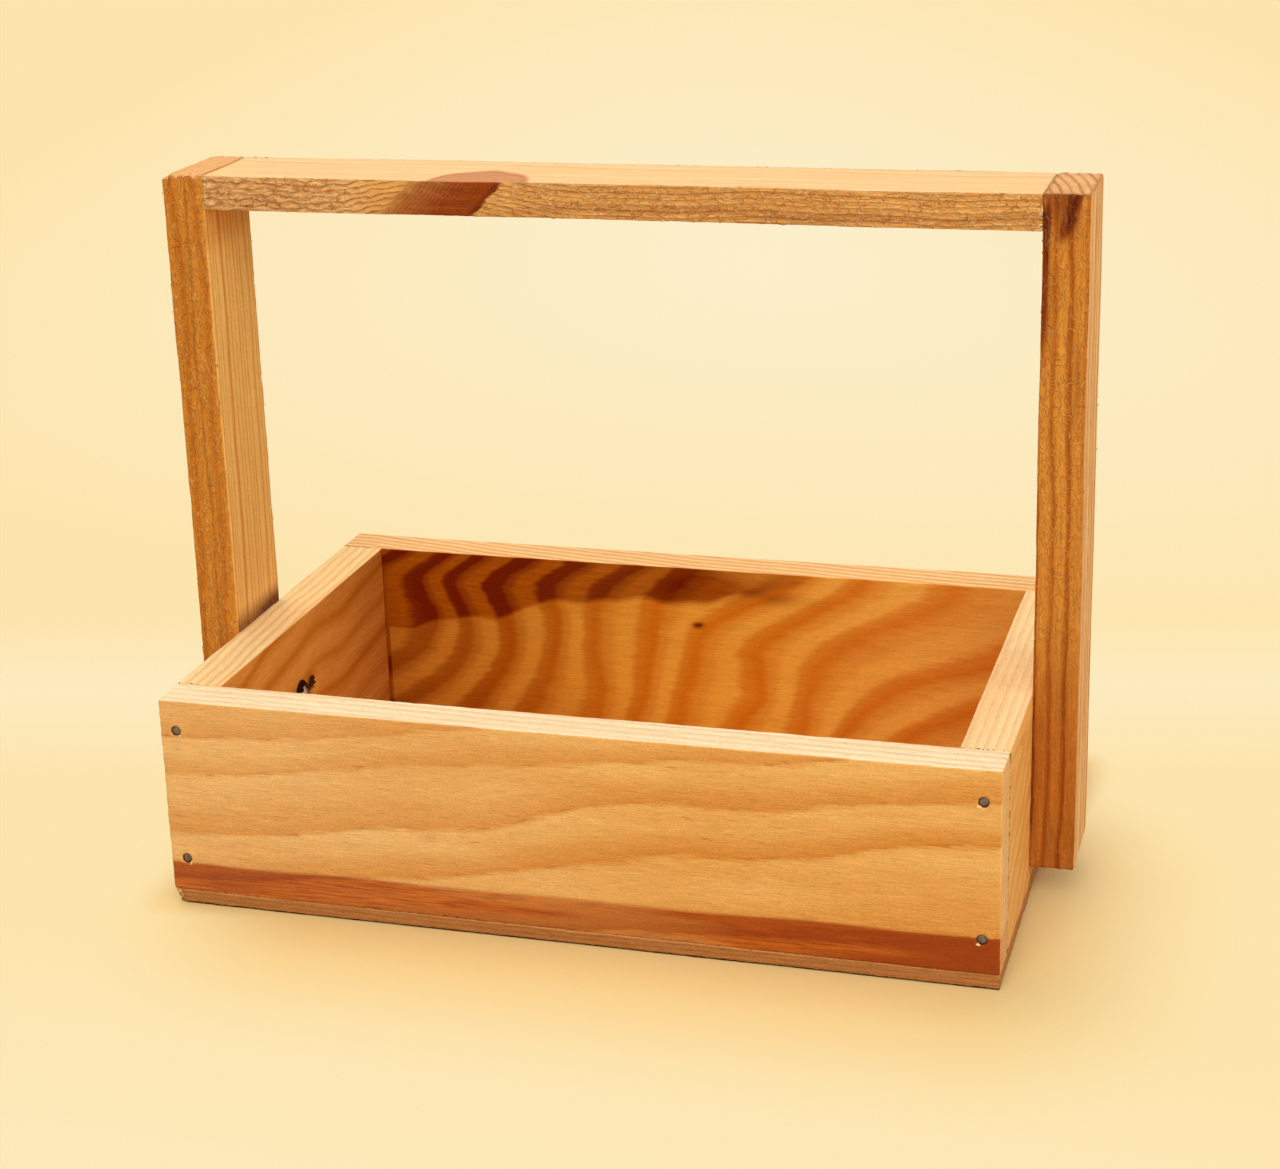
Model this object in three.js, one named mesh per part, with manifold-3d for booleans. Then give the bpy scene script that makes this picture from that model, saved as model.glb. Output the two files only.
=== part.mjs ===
// A small hand-nailed pine caddy: four boards on a thin base sheet make an open box, and two posts with a
// crossbar between their tops make a fixed handle over it.
// Millimetres. +X runs along the front board, +Y to the back, +Z up. The floor is Z = 0, under the middle.
import * as THREE from "three";
import { mergeVertices } from "three/addons/utils/BufferGeometryUtils.js";
import Module from "manifold-3d";

// Box
const boxLength = 152.4; // outside, the six inches of the front and back boards
const boxDepth = 98; // outside, front face to back face
const wallHeight = 37.4; // of the four walls, which stand on the base
const wallThickness = 8.6; // one stock for all four walls
const baseThickness = 2.7; // sheet the size of the footprint
const baseCornerRadius = 1.6; // worn corners of the sheet, seen from above

// Handle
const handleHeight = 128.8; // floor to the level top of the posts and crossbar
const battenWidth = 19.8; // posts and crossbar, front to back
const postThickness = 8;
const crossbarThickness = 6.3;
const footHeight = 6.4; // floor to the sawn foot of a post
const handleOffset = -3.5; // handle's centre line from the box's, a little to the front

// Sanded edges
const wallEase = 0.5;
const battenEase = 0.75;
const baseEase = 0.35;
const cornerShare = 1.5; // radius of a section's corners against the ease of its ends

// Pins: slim nails with small flat heads
const pinHeadDiameter = 1.7;
const pinHeadThickness = 0.5;
const pinShankDiameter = 1.2;
const pinPointLength = 2;
const pinSink = 0.2; // head below the face of the wood

// Where the pins stand, and how deep they go into the second piece
const wallPinInset = 3.1; // from the end of the front or back board
const wallPinBelowRim = 5.8;
const wallPinAboveBase = 6.4;
const wallPinBite = 11;
const basePinLongInset = 24; // outer pins of a long wall, from its ends
const basePinEndInset = 20; // pins of an end board, from its ends
const basePinBite = 9;
const handlePinInset = 5; // from the front or back face of the post
const handlePinBite = 12;

// Round-headed screws, driven from inside the box into the posts
const screwHeadDiameter = 5.2;
const screwHeadHeight = 1.9;
const screwShankDiameter = 2.8;
const screwPointLength = 3;
const screwSeatDepth = 0.9; // flat seat of the head below the inner face
const screwTipCover = 2; // wood left in the post beyond the point
const screwOffset = -2; // from the centre line of the post, a little to the front
const lowerScrewShare = 0.2; // height up the lap of post and end board
const upperScrewShare = 0.56;

// Clearances and facets
const boreClearance = 0.15; // all round a shank or head
const pointClearance = 0.3; // beyond a point
const cutReach = 1; // how far a cutting tool stands out of the face
const roundSides = 12;
const domeSteps = 5;
const easeSteps = 2;
const mergeTolerance = 1e-5;

// Places worked out from the sizes above
const boxHalf = boxLength / 2;
const depthHalf = boxDepth / 2;
const rimHeight = baseThickness + wallHeight;
const wallMiddleHeight = baseThickness + wallHeight / 2;
const insideHalfLength = boxHalf - wallThickness;
const insideHalfDepth = depthHalf - wallThickness;
const wallCentre = depthHalf - wallThickness / 2;
const endCentre = boxHalf - wallThickness / 2;
const postHeight = handleHeight - footHeight;
const postMiddleHeight = footHeight + postHeight / 2;
const postCentre = boxHalf + postThickness / 2;
const crossbarCentreHeight = handleHeight - crossbarThickness / 2;
const lapHeight = rimHeight - footHeight;

const wasm = await Module();
wasm.setup();

// Closed solid from a geometry, with the vertices that share a place joined.
function solidFrom(geometry) {
  const bare = geometry.clone();
  bare.deleteAttribute("normal");
  bare.deleteAttribute("uv");
  const merged = mergeVertices(bare, mergeTolerance);
  const corners = merged.index.array;
  const triangles = [];
  for (let i = 0; i < corners.length; i += 3) {
    const [a, b, c] = corners.slice(i, i + 3);
    if (a !== b && b !== c && c !== a) triangles.push(a, b, c);
  }
  const mesh = new wasm.Mesh({
    numProp: 3,
    vertProperties: merged.attributes.position.array,
    triVerts: new Uint32Array(triangles),
  });
  return new wasm.Manifold(mesh);
}

function geometryFrom(solid) {
  const mesh = solid.getMesh();
  const geometry = new THREE.BufferGeometry();
  geometry.setAttribute("position", new THREE.BufferAttribute(new Float32Array(mesh.vertProperties), 3));
  geometry.setIndex(new THREE.BufferAttribute(new Uint32Array(mesh.triVerts), 1));
  geometry.computeVertexNormals();
  return geometry;
}

// Rectangle about the origin with rounded corners.
function roundedRectangle(width, height, radius) {
  const shape = new THREE.Shape();
  const x = width / 2 - radius;
  const y = height / 2 - radius;
  shape.absarc(x, y, radius, 0, Math.PI / 2);
  shape.absarc(-x, y, radius, Math.PI / 2, Math.PI);
  shape.absarc(-x, -y, radius, Math.PI, Math.PI * 1.5);
  shape.absarc(x, -y, radius, Math.PI * 1.5, Math.PI * 2);
  shape.closePath();
  return shape;
}

// Section drawn in XY and run along Z, centred, with its two end edges sanded round.
function easedPrism(section, length, ease) {
  const geometry = new THREE.ExtrudeGeometry(section, {
    depth: length - 2 * ease,
    bevelEnabled: true,
    bevelThickness: ease,
    bevelSize: ease,
    bevelOffset: -ease,
    bevelSegments: easeSteps,
    curveSegments: easeSteps,
  });
  return geometry.translate(0, 0, ease - length / 2);
}

// A sawn board with its grain along x, y or z and every edge eased. The section's own corners are a little
// rounder than the ease, so that they keep a radius where the end edge draws them in.
function sawnBoard(size, grain, ease, centre) {
  const sections = {
    x: [size.z, size.y, size.x],
    y: [size.x, size.z, size.y],
    z: [size.x, size.y, size.z],
  };
  const [width, height, length] = sections[grain];
  const geometry = easedPrism(roundedRectangle(width, height, cornerShare * ease), length, ease);
  if (grain === "x") geometry.rotateY(Math.PI / 2);
  if (grain === "y") geometry.rotateX(-Math.PI / 2);
  return geometry.translate(centre.x, centre.y, centre.z);
}

// Round piece about Y from points (radius, height), lowest point first.
function turned(points) {
  const profile = points.map(([radius, height]) => new THREE.Vector2(radius, height));
  return new THREE.LatheGeometry(profile, roundSides);
}

// A pin stands with its head's flat top at 0 and its point down. The spare makes the tool that bores for it.
function pinProfile(length, spare, pointSpare, reach) {
  const shankRadius = pinShankDiameter / 2 + spare;
  const headRadius = pinHeadDiameter / 2 + spare;
  return [
    [0, -length - pointSpare],
    [shankRadius, pinPointLength - length - pointSpare],
    [shankRadius, -pinHeadThickness],
    [headRadius, -pinHeadThickness],
    [headRadius, reach],
    [0, reach],
  ];
}

// A screw stands with the flat underside of its domed head at 0 and its point down.
function screwProfile(length) {
  const shankRadius = screwShankDiameter / 2;
  const points = [
    [0, -length],
    [shankRadius, screwPointLength - length],
    [shankRadius, 0],
  ];
  for (let step = 0; step < domeSteps; step += 1) {
    const angle = (step / domeSteps) * (Math.PI / 2);
    points.push([(screwHeadDiameter / 2) * Math.cos(angle), screwHeadHeight * Math.sin(angle)]);
  }
  points.push([0, screwHeadHeight]);
  return points;
}

function screwBoreProfile(length) {
  const shankRadius = screwShankDiameter / 2 + boreClearance;
  const headRadius = screwHeadDiameter / 2 + boreClearance;
  return [
    [0, -length - pointClearance],
    [shankRadius, screwPointLength - length - pointClearance],
    [shankRadius, 0],
    [headRadius, 0],
    [headRadius, screwSeatDepth + cutReach],
    [0, screwSeatDepth + cutReach],
  ];
}

// The eight wooden pieces, before they are bored
const wallSize = new THREE.Vector3(boxLength, wallThickness, wallHeight);
const endSize = new THREE.Vector3(wallThickness, 2 * insideHalfDepth, wallHeight);
const postSize = new THREE.Vector3(postThickness, battenWidth, postHeight);
const crossbarSize = new THREE.Vector3(boxLength, battenWidth, crossbarThickness);

function baseSheet() {
  const outline = roundedRectangle(boxLength, boxDepth, baseCornerRadius);
  return easedPrism(outline, baseThickness, baseEase).translate(0, 0, baseThickness / 2);
}

const wallAt = (y) => new THREE.Vector3(0, y, wallMiddleHeight);
const endAt = (x) => new THREE.Vector3(x, 0, wallMiddleHeight);
const postAt = (x) => new THREE.Vector3(x, handleOffset, postMiddleHeight);
const crossbarAt = new THREE.Vector3(0, handleOffset, crossbarCentreHeight);

const wood = {
  base_board: solidFrom(baseSheet()),
  front_board: solidFrom(sawnBoard(wallSize, "x", wallEase, wallAt(-wallCentre))),
  back_board: solidFrom(sawnBoard(wallSize, "x", wallEase, wallAt(wallCentre))),
  left_end_board: solidFrom(sawnBoard(endSize, "y", wallEase, endAt(-endCentre))),
  right_end_board: solidFrom(sawnBoard(endSize, "y", wallEase, endAt(endCentre))),
  left_post: solidFrom(sawnBoard(postSize, "z", battenEase, postAt(-postCentre))),
  right_post: solidFrom(sawnBoard(postSize, "z", battenEase, postAt(postCentre))),
  crossbar: solidFrom(sawnBoard(crossbarSize, "x", battenEase, crossbarAt)),
};

// Every fastener: its name, the place of its head, the way its point goes and the pieces that it holds
const fasteners = [];

function addPin(name, face, toward, throughThickness, bite, holds) {
  const length = throughThickness - pinSink + bite;
  fasteners.push({
    name,
    finish: "pinSteel",
    place: face.clone().addScaledVector(toward, pinSink),
    toward,
    body: turned(pinProfile(length, 0, 0, 0)),
    bore: turned(pinProfile(length, boreClearance, pointClearance, pinSink + cutReach)),
    holds,
  });
}

function addScrew(name, face, toward, holds) {
  const length = wallThickness - screwSeatDepth + postThickness - screwTipCover;
  fasteners.push({
    name,
    finish: "screwBlack",
    place: face.clone().addScaledVector(toward, screwSeatDepth),
    toward,
    body: turned(screwProfile(length)),
    bore: turned(screwBoreProfile(length)),
    holds,
  });
}

const sides = [
  { name: "left", sign: -1 },
  { name: "right", sign: 1 },
];
const longWalls = [
  { name: "front", sign: -1 },
  { name: "back", sign: 1 },
];
const up = new THREE.Vector3(0, 0, 1);

// Corners of the box: two pins through each end of each long wall, into the end grain of the end boards
const wallPinRows = [
  { name: "upper", z: rimHeight - wallPinBelowRim },
  { name: "lower", z: baseThickness + wallPinAboveBase },
];
for (const wall of longWalls) {
  for (const side of sides) {
    for (const row of wallPinRows) {
      const face = new THREE.Vector3(side.sign * (boxHalf - wallPinInset), wall.sign * depthHalf, row.z);
      const inward = new THREE.Vector3(0, -wall.sign, 0);
      const holds = [wall.name + "_board", side.name + "_end_board"];
      const name = wall.name + "_" + side.name + "_pin_" + row.name;
      addPin(name, face, inward, wallThickness, wallPinBite, holds);
    }
  }
}

// Base: pins up through the sheet, three into each long wall and two into each end board
const longPinPlaces = [
  { name: "left", x: basePinLongInset - boxHalf },
  { name: "middle", x: 0 },
  { name: "right", x: boxHalf - basePinLongInset },
];
for (const wall of longWalls) {
  for (const spot of longPinPlaces) {
    const face = new THREE.Vector3(spot.x, wall.sign * wallCentre, 0);
    const holds = ["base_board", wall.name + "_board"];
    addPin("base_" + wall.name + "_pin_" + spot.name, face, up, baseThickness, basePinBite, holds);
  }
}
for (const side of sides) {
  for (const wall of longWalls) {
    const y = wall.sign * (insideHalfDepth - basePinEndInset);
    const face = new THREE.Vector3(side.sign * endCentre, y, 0);
    const holds = ["base_board", side.name + "_end_board"];
    addPin("base_" + side.name + "_pin_" + wall.name, face, up, baseThickness, basePinBite, holds);
  }
}

// Handle: two pins through each post into the crossbar, and two screws from inside the box into each post
const screwRows = [
  { name: "upper", z: footHeight + upperScrewShare * lapHeight },
  { name: "lower", z: footHeight + lowerScrewShare * lapHeight },
];
for (const side of sides) {
  const inward = new THREE.Vector3(-side.sign, 0, 0);
  const outward = new THREE.Vector3(side.sign, 0, 0);
  const post = side.name + "_post";
  for (const wall of longWalls) {
    const y = handleOffset + wall.sign * (battenWidth / 2 - handlePinInset);
    const face = new THREE.Vector3(side.sign * (boxHalf + postThickness), y, crossbarCentreHeight);
    const holds = [post, "crossbar"];
    addPin(side.name + "_handle_pin_" + wall.name, face, inward, postThickness, handlePinBite, holds);
  }
  for (const row of screwRows) {
    const face = new THREE.Vector3(side.sign * insideHalfLength, handleOffset + screwOffset, row.z);
    addScrew(side.name + "_screw_" + row.name, face, outward, [side.name + "_end_board", post]);
  }
}

// Colour, roughness and metalness of each finish
const finishes = {
  amberPine: { color: 0xd9a45b, roughness: 0.55, metalness: 0 },
  darkPine: { color: 0xc07a34, roughness: 0.6, metalness: 0 },
  palePine: { color: 0xe3b877, roughness: 0.6, metalness: 0 },
  greySheet: { color: 0xa88458, roughness: 0.7, metalness: 0 },
  pinSteel: { color: 0x6d6a66, roughness: 0.45, metalness: 1 },
  screwBlack: { color: 0x2a211d, roughness: 0.35, metalness: 0.8 },
};
const woodFinish = {
  base_board: "greySheet",
  front_board: "amberPine",
  back_board: "amberPine",
  left_end_board: "amberPine",
  right_end_board: "amberPine",
  left_post: "darkPine",
  right_post: "darkPine",
  crossbar: "palePine",
};

function namedMesh(name, geometry, finish) {
  const mesh = new THREE.Mesh(geometry, new THREE.MeshStandardMaterial(finishes[finish]));
  mesh.name = name;
  return mesh;
}

// A fastener is modelled point down and turned to the way it is driven.
const pointDown = new THREE.Vector3(0, -1, 0);

function placement(fastener) {
  const turn = new THREE.Quaternion().setFromUnitVectors(pointDown, fastener.toward);
  return new THREE.Matrix4().compose(fastener.place, turn, new THREE.Vector3(1, 1, 1));
}

const box = new THREE.Group();
const handle = new THREE.Group();
const hardware = new THREE.Group();

for (const fastener of fasteners) {
  const matrix = placement(fastener);
  const bore = solidFrom(fastener.bore.applyMatrix4(matrix));
  for (const piece of fastener.holds) wood[piece] = wood[piece].subtract(bore);
  const mesh = namedMesh(fastener.name, geometryFrom(solidFrom(fastener.body)), fastener.finish);
  mesh.applyMatrix4(matrix);
  hardware.add(mesh);
}

const handlePieces = ["left_post", "right_post", "crossbar"];
for (const [name, solid] of Object.entries(wood)) {
  const group = handlePieces.includes(name) ? handle : box;
  group.add(namedMesh(name, geometryFrom(solid), woodFinish[name]));
}

const caddy = new THREE.Group();
caddy.add(box, handle, hardware);

export default caddy;
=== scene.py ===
import math

import bmesh
import bpy
import numpy as np
from mathutils import Matrix, Vector


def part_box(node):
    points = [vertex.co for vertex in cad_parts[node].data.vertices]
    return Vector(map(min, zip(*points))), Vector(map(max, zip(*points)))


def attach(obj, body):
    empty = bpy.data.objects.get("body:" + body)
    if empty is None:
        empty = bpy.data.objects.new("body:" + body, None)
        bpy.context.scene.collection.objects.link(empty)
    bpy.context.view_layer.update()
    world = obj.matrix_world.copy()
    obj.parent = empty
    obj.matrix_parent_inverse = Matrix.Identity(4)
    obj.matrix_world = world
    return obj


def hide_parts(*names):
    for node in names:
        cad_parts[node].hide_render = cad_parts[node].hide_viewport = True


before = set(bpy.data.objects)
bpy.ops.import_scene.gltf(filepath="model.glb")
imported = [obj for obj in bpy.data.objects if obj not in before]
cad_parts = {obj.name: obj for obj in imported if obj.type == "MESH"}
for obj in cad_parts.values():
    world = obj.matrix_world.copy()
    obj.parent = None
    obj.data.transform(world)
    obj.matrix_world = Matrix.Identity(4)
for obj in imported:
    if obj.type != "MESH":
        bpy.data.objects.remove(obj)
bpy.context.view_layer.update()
scene = bpy.context.scene
mm = 0.001
print("frame loaded with", len(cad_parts), "nodes")


def tint(red, green, blue):  # a colour as it looks on a screen, 0 to 255, made linear
    parts = [value / 255 for value in (red, green, blue)]
    return tuple(p / 12.92 if p < 0.04 else ((p + 0.055) / 1.055) ** 2.4 for p in parts) + (1.0,)


# Small helpers that wire up a node tree, for geometry and for finishes alike
def fill(tree, socket, value):
    if isinstance(value, bpy.types.NodeSocket):
        tree.links.new(value, socket)
    else:
        socket.default_value = value


def put(tree, kind, *values, out=0, named=None, **settings):
    node = tree.nodes.new(kind)
    for key, value in settings.items():
        setattr(node, key, value)
    for socket, value in zip([s for s in node.inputs if s.enabled], values):
        fill(tree, socket, value)
    for key, value in (named or {}).items():
        fill(tree, node.inputs[key], value)
    return [s for s in node.outputs if s.enabled][out]


def treeOf(*values):  # the node tree that these values belong to
    return next(value.id_data for value in values if isinstance(value, bpy.types.NodeSocket))


def calc(operation, *values):
    return put(treeOf(*values), "ShaderNodeMath", *values, operation=operation)


def chain(operation):  # a helper that takes two values or more
    def run(first, *others):
        for value in others:
            first = calc(operation, first, value)
        return first
    return run


plus, minus, times, most = [chain(name) for name in ("ADD", "SUBTRACT", "MULTIPLY", "MAXIMUM")]


def vec(operation, *values):
    return put(treeOf(*values), "ShaderNodeVectorMath", *values, operation=operation)


def span(value, low, high, start=0.0, end=1.0):  # low to high becomes start to end
    return put(value.id_data, "ShaderNodeMapRange", value, low, high, start, end)


def noise(where, seed, detail=2.0, rough=0.5, out=0):
    sockets = {"Vector": where, "W": seed, "Scale": 1.0, "Detail": detail, "Roughness": rough}
    return put(where.id_data, "ShaderNodeTexNoise", named=sockets, out=out, noise_dimensions="4D")


def blend(share, first, second):
    return put(share.id_data, "ShaderNodeMix", share, first, second, data_type="RGBA")


def ramp(value, stops):  # stops are (spot, grey)
    node = value.id_data.nodes.new("ShaderNodeValToRGB")
    node.color_ramp.interpolation = "EASE"
    value.id_data.links.new(value, node.inputs[0])
    points = node.color_ramp.elements
    while len(points) < len(stops):
        points.new(0.5)
    for point, (spot, grey) in zip(points, stops):
        point.position = spot
        point.color = (grey, grey, grey, 1.0)
    return node.outputs[0]


def newTree(name, asks):
    tree = bpy.data.node_groups.new(name, "GeometryNodeTree")
    tree.interface.new_socket("Geometry", in_out="INPUT", socket_type="NodeSocketGeometry")
    for label, kind in asks.items():
        tree.interface.new_socket(label, in_out="INPUT", socket_type="NodeSocket" + kind)
    tree.interface.new_socket("Geometry", in_out="OUTPUT", socket_type="NodeSocketGeometry")
    return tree, tree.nodes.new("NodeGroupInput").outputs


def endTree(tree, geometry, finish):
    whole = put(tree, "GeometryNodeRealizeInstances", geometry)
    smooth = put(tree, "GeometryNodeSetShadeSmooth", whole)
    dressed = put(tree, "GeometryNodeSetMaterial", named={"Geometry": smooth, "Material": finish})
    tree.links.new(dressed, tree.nodes.new("NodeGroupOutput").inputs[0])


def axes(where):  # the three parts of a place
    parts = where.id_data.nodes.new("ShaderNodeSeparateXYZ")
    where.id_data.links.new(where, parts.inputs[0])
    return parts.outputs


def here(tree):
    return put(tree, "GeometryNodeInputPosition")


def moved(geometry, **how):  # how is Position or Offset
    return put(geometry.id_data, "GeometryNodeSetPosition", named={"Geometry": geometry, **how})


def store(geometry, label, value, kind="FLOAT"):
    return put(geometry.id_data, "GeometryNodeStoreNamedAttribute", data_type=kind, named={
        "Geometry": geometry, "Name": label, "Value": value})


def stored(tree, label, kind="FLOAT"):
    return put(tree, "GeometryNodeInputNamedAttribute", label, data_type=kind)


def inMetres(sizes):
    return {label: value * mm for label, value in sizes.items()}


def newFinish(name):
    material = bpy.data.materials.new(name)
    material.use_nodes = True
    material.node_tree.nodes.clear()
    return material, material.node_tree


def endFinish(surface, kind="Material"):
    tree = surface.id_data
    tree.links.new(surface, tree.nodes.new("ShaderNodeOutput" + kind).inputs[0])


def painted(tree, label):  # a field that the mesh carries
    return put(tree, "ShaderNodeAttribute", out=2, attribute_name=label)


def bumped(strength, deep, height):  # deep is in millimetres
    sockets = {"Strength": strength, "Distance": deep * mm, "Height": height}
    return put(height.id_data, "ShaderNodeBump", named=sockets)


def grow(name, tree, sizes, seedMesh=None):  # runs a tree and keeps its result as a plain mesh
    holder = bpy.data.objects.new(name + "_holder", seedMesh or bpy.data.meshes.new(name + "_holder"))
    scene.collection.objects.link(holder)
    modifier = holder.modifiers.new(tree.name, "NODES")
    modifier.node_group = tree
    for item in tree.interface.items_tree:
        if item.in_out == "INPUT" and item.name in sizes:
            modifier[item.identifier] = sizes[item.name]
    graph = bpy.context.evaluated_depsgraph_get()
    mesh = bpy.data.meshes.new_from_object(holder.evaluated_get(graph))
    bpy.data.objects.remove(holder)
    mesh.name = name
    return mesh


def place(name, mesh, slot, *nodes):  # a finished piece, standing for its nodes
    piece = bpy.data.objects.new(name, mesh)
    scene.collection.objects.link(piece)
    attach(piece, "root")
    if nodes:
        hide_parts(*nodes)


# Curves and bumps that draw the figure of the wood, all in millimetres
def swell(along, *waves):  # waves are (length, height, start)
    return sum(height * np.sin((along / length + start) * 2 * np.pi) for length, height, start in waves)


def rise(low, high, value):
    share = np.clip((value - low) / (high - low), 0, 1)
    return share * share * (3 - 2 * share)


def mound(dx, dy, wide, tall):
    return np.exp(-((dx / wide) ** 2) - (dy / tall) ** 2)


def glide(value, points, soft=1.5):  # a line through given points, with its corners eased
    xs, ys = np.array(points, float).T
    grid = np.arange(xs[0] - 4 * soft, xs[-1] + 4 * soft, soft / 6)
    window = np.hanning(15)
    line = np.convolve(np.pad(np.interp(grid, xs, ys), 7, mode="edge"), window / window.sum(), "valid")
    return np.interp(value, grid, line)


def between(value, lines, where):  # counts up by one from each given line to the next
    rows = [glide(where, line, 3.0) for line in lines]
    return sum(np.clip((value - low) / (high - low), 0, 1) for low, high in zip(rows, rows[1:]))


def paint(mesh, fields):
    for name, values in fields.items():
        layer = mesh.attributes.get(name) or mesh.attributes.new(name, "FLOAT", "POINT")
        layer.data.foreach_set("value", np.asarray(values, np.float32))


def readMesh(mesh):  # places in millimetres, as rows that can be changed, and the way each point faces
    spots = np.zeros(len(mesh.vertices) * 3, np.float32)
    mesh.vertices.foreach_get("co", spots)
    facing = np.zeros(len(mesh.vertices) * 3, np.float32)
    mesh.attributes["facing"].data.foreach_get("vector", facing)
    return spots.reshape(-1, 3).astype(float) / mm, facing.reshape(-1, 3).astype(float)


def writeMesh(mesh, spots):
    mesh.vertices.foreach_set("co", (spots * mm).astype(np.float32).ravel())
    mesh.update()


# Camera at the photograph's viewing angle
camera = {
    "stand": (0.13028, -0.44039, 0.21095),
    "aim": (-0.00684, 0.0, 0.05792),
    "roll": -2.0,  # degrees
    "focal": 2587,  # in pixels of a picture 1280 wide
    "wide": 1280,
    "shift": (0.03125, -0.03086),
}


def setCamera(sizes):
    data = bpy.data.cameras.new("camera")
    data.sensor_width = 36
    data.lens = sizes["focal"] / sizes["wide"] * data.sensor_width
    data.shift_x, data.shift_y = sizes["shift"]
    data.clip_start = 0.01
    view = bpy.data.objects.new("camera", data)
    view.location = sizes["stand"]
    view.rotation_mode = "QUATERNION"
    look = (Vector(sizes["aim"]) - view.location).to_track_quat("-Z", "Y")
    view.rotation_quaternion = look @ Matrix.Rotation(math.radians(sizes["roll"]), 4, "Z").to_quaternion()
    scene.collection.objects.link(view)
    scene.camera = view


scene.view_settings.view_transform = "Standard"
setCamera(camera)
print("camera set")

# Cream floor and soft studio light
studio = {
    "floorHalf": 3.0,  # metres
    "cream": tint(253, 228, 172),
    "glow": tint(252, 239, 203),  # painted light: a lighter patch on the floor behind the tray
    "paper": tint(241, 213, 149),  # the floor near the tray, under the lamps
    "bounce": tint(196, 176, 134),  # what the floor throws back on to the wood
    "lean": 0.27,  # how far the line of sight runs aside for each metre behind the tray
    "glowAt": (0.04, -0.68),  # aside in metres, and the logarithm of the metres behind
    "glowReach": (0.24, 0.92),
    "glowNearest": 0.02,  # metres behind the tray from which the logarithm counts
    "aheadReach": (-0.06, -0.13),  # painted light, a paler floor in front: where it starts and where it is full
    "aheadGlow": 0.4,
    "bandAt": 0.077,  # painted light, a paler band across the floor, beside the back of the tray
    "bandLean": -0.23,
    "bandHalf": 0.05,
    "bandGlow": 0.6,
    "shadeMiddle": (0.012, -0.027, 0.0),  # the widest shade lies in front of the tray and to its right
    "shadeHalf": (0.055, 0.022, 1.0),
    "shadeReach": (0.004, 0.05),  # metres beyond that: full up to the first, gone by the second
    "contactReach": (0.0, 0.010),  # the same, all round the base
    "skyColour": (1.0, 0.92, 0.80, 1.0),
    "skyLevel": 0.32,
    "lamps": {  # place, aim, width, watts, colour
        "overheadBox": ((-0.34, 0.30, 0.94), (0, 0, 0.05), 0.9, 5.4, (1.0, 0.97, 0.93)),
        "frontBox": ((0.10, -0.98, 0.80), (0, 0, 0.05), 0.9, 8.9, (1.0, 0.97, 0.93)),
        "rightBox": ((1.00, -0.25, 0.45), (0, 0, 0.06), 0.7, 4.2, (1.0, 0.97, 0.93)),
    },
}


def seenDirectly(tree):  # by the camera, in a reflection or through glass
    path = tree.nodes.new("ShaderNodeLightPath")
    return most(*[path.outputs[f"Is {kind} Ray"] for kind in ("Camera", "Transmission", "Glossy")])


def creamFloor(sizes):
    mesh = bpy.data.meshes.new("floor")
    half = sizes["floorHalf"]
    corners = [(-half, -half, 0), (half, -half, 0), (half, half, 0), (-half, half, 0)]
    mesh.from_pydata(corners, [], [(0, 1, 2, 3)])
    floor = bpy.data.objects.new("floor", mesh)
    scene.collection.objects.link(floor)
    material, tree = newFinish("creamPaper")
    where = put(tree, "ShaderNodeTexCoord", out=3)
    x, y = axes(where)[:2]
    aside = calc("MULTIPLY_ADD", y, sizes["lean"], x)
    behind = calc("LOGARITHM", most(y, sizes["glowNearest"]), math.e)
    offset = put(tree, "ShaderNodeCombineXYZ", aside, behind, 0.0)
    offset = vec("SUBTRACT", offset, (*sizes["glowAt"], 0))
    reach = vec("DIVIDE", offset, (*sizes["glowReach"], 1))
    glow = span(vec("LENGTH", reach), 0.0, 1.6, 1.0, 0.0)
    glow = calc("SMOOTH_MIN", glow, 1.0, 0.3)
    ahead = span(y, *sizes["aheadReach"], 0.0, sizes["aheadGlow"])
    level = calc("MULTIPLY_ADD", x, sizes["bandLean"], y)
    off = calc("ABSOLUTE", minus(level, sizes["bandAt"]))
    band = span(off, 0.0, sizes["bandHalf"], sizes["bandGlow"], 0.0)
    # painted light on the plain floor: a lighter patch behind the tray, a paler floor in front and a paler
    # band beside it
    cream = blend(most(glow, ahead, band), sizes["cream"], sizes["glow"])
    paper = put(tree, "ShaderNodeBsdfDiffuse", sizes["paper"])
    plain = put(tree, "ShaderNodeEmission", cream, 1.0)
    bounce = put(tree, "ShaderNodeBsdfDiffuse", sizes["bounce"])

    def clearOf(middle, half, reach):  # 0 inside a box on the floor, 1 well away from it
        beyond = vec("ABSOLUTE", vec("SUBTRACT", where, middle))
        beyond = vec("MAXIMUM", vec("SUBTRACT", beyond, half), (0, 0, 0))
        far = vec("LENGTH", beyond)
        return put(tree, "ShaderNodeMapRange", far, *reach, interpolation_type="SMOOTHSTEP")

    wide = clearOf(sizes["shadeMiddle"], sizes["shadeHalf"], sizes["shadeReach"])
    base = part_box("base_board")[1]
    fade = calc("MINIMUM", wide, clearOf((0, 0, 0), (base.x, base.y, 1), sizes["contactReach"]))
    seen = put(tree, "ShaderNodeMixShader", fade, paper, plain)
    endFinish(put(tree, "ShaderNodeMixShader", seenDirectly(tree), bounce, seen))
    mesh.materials.append(material)


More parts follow.
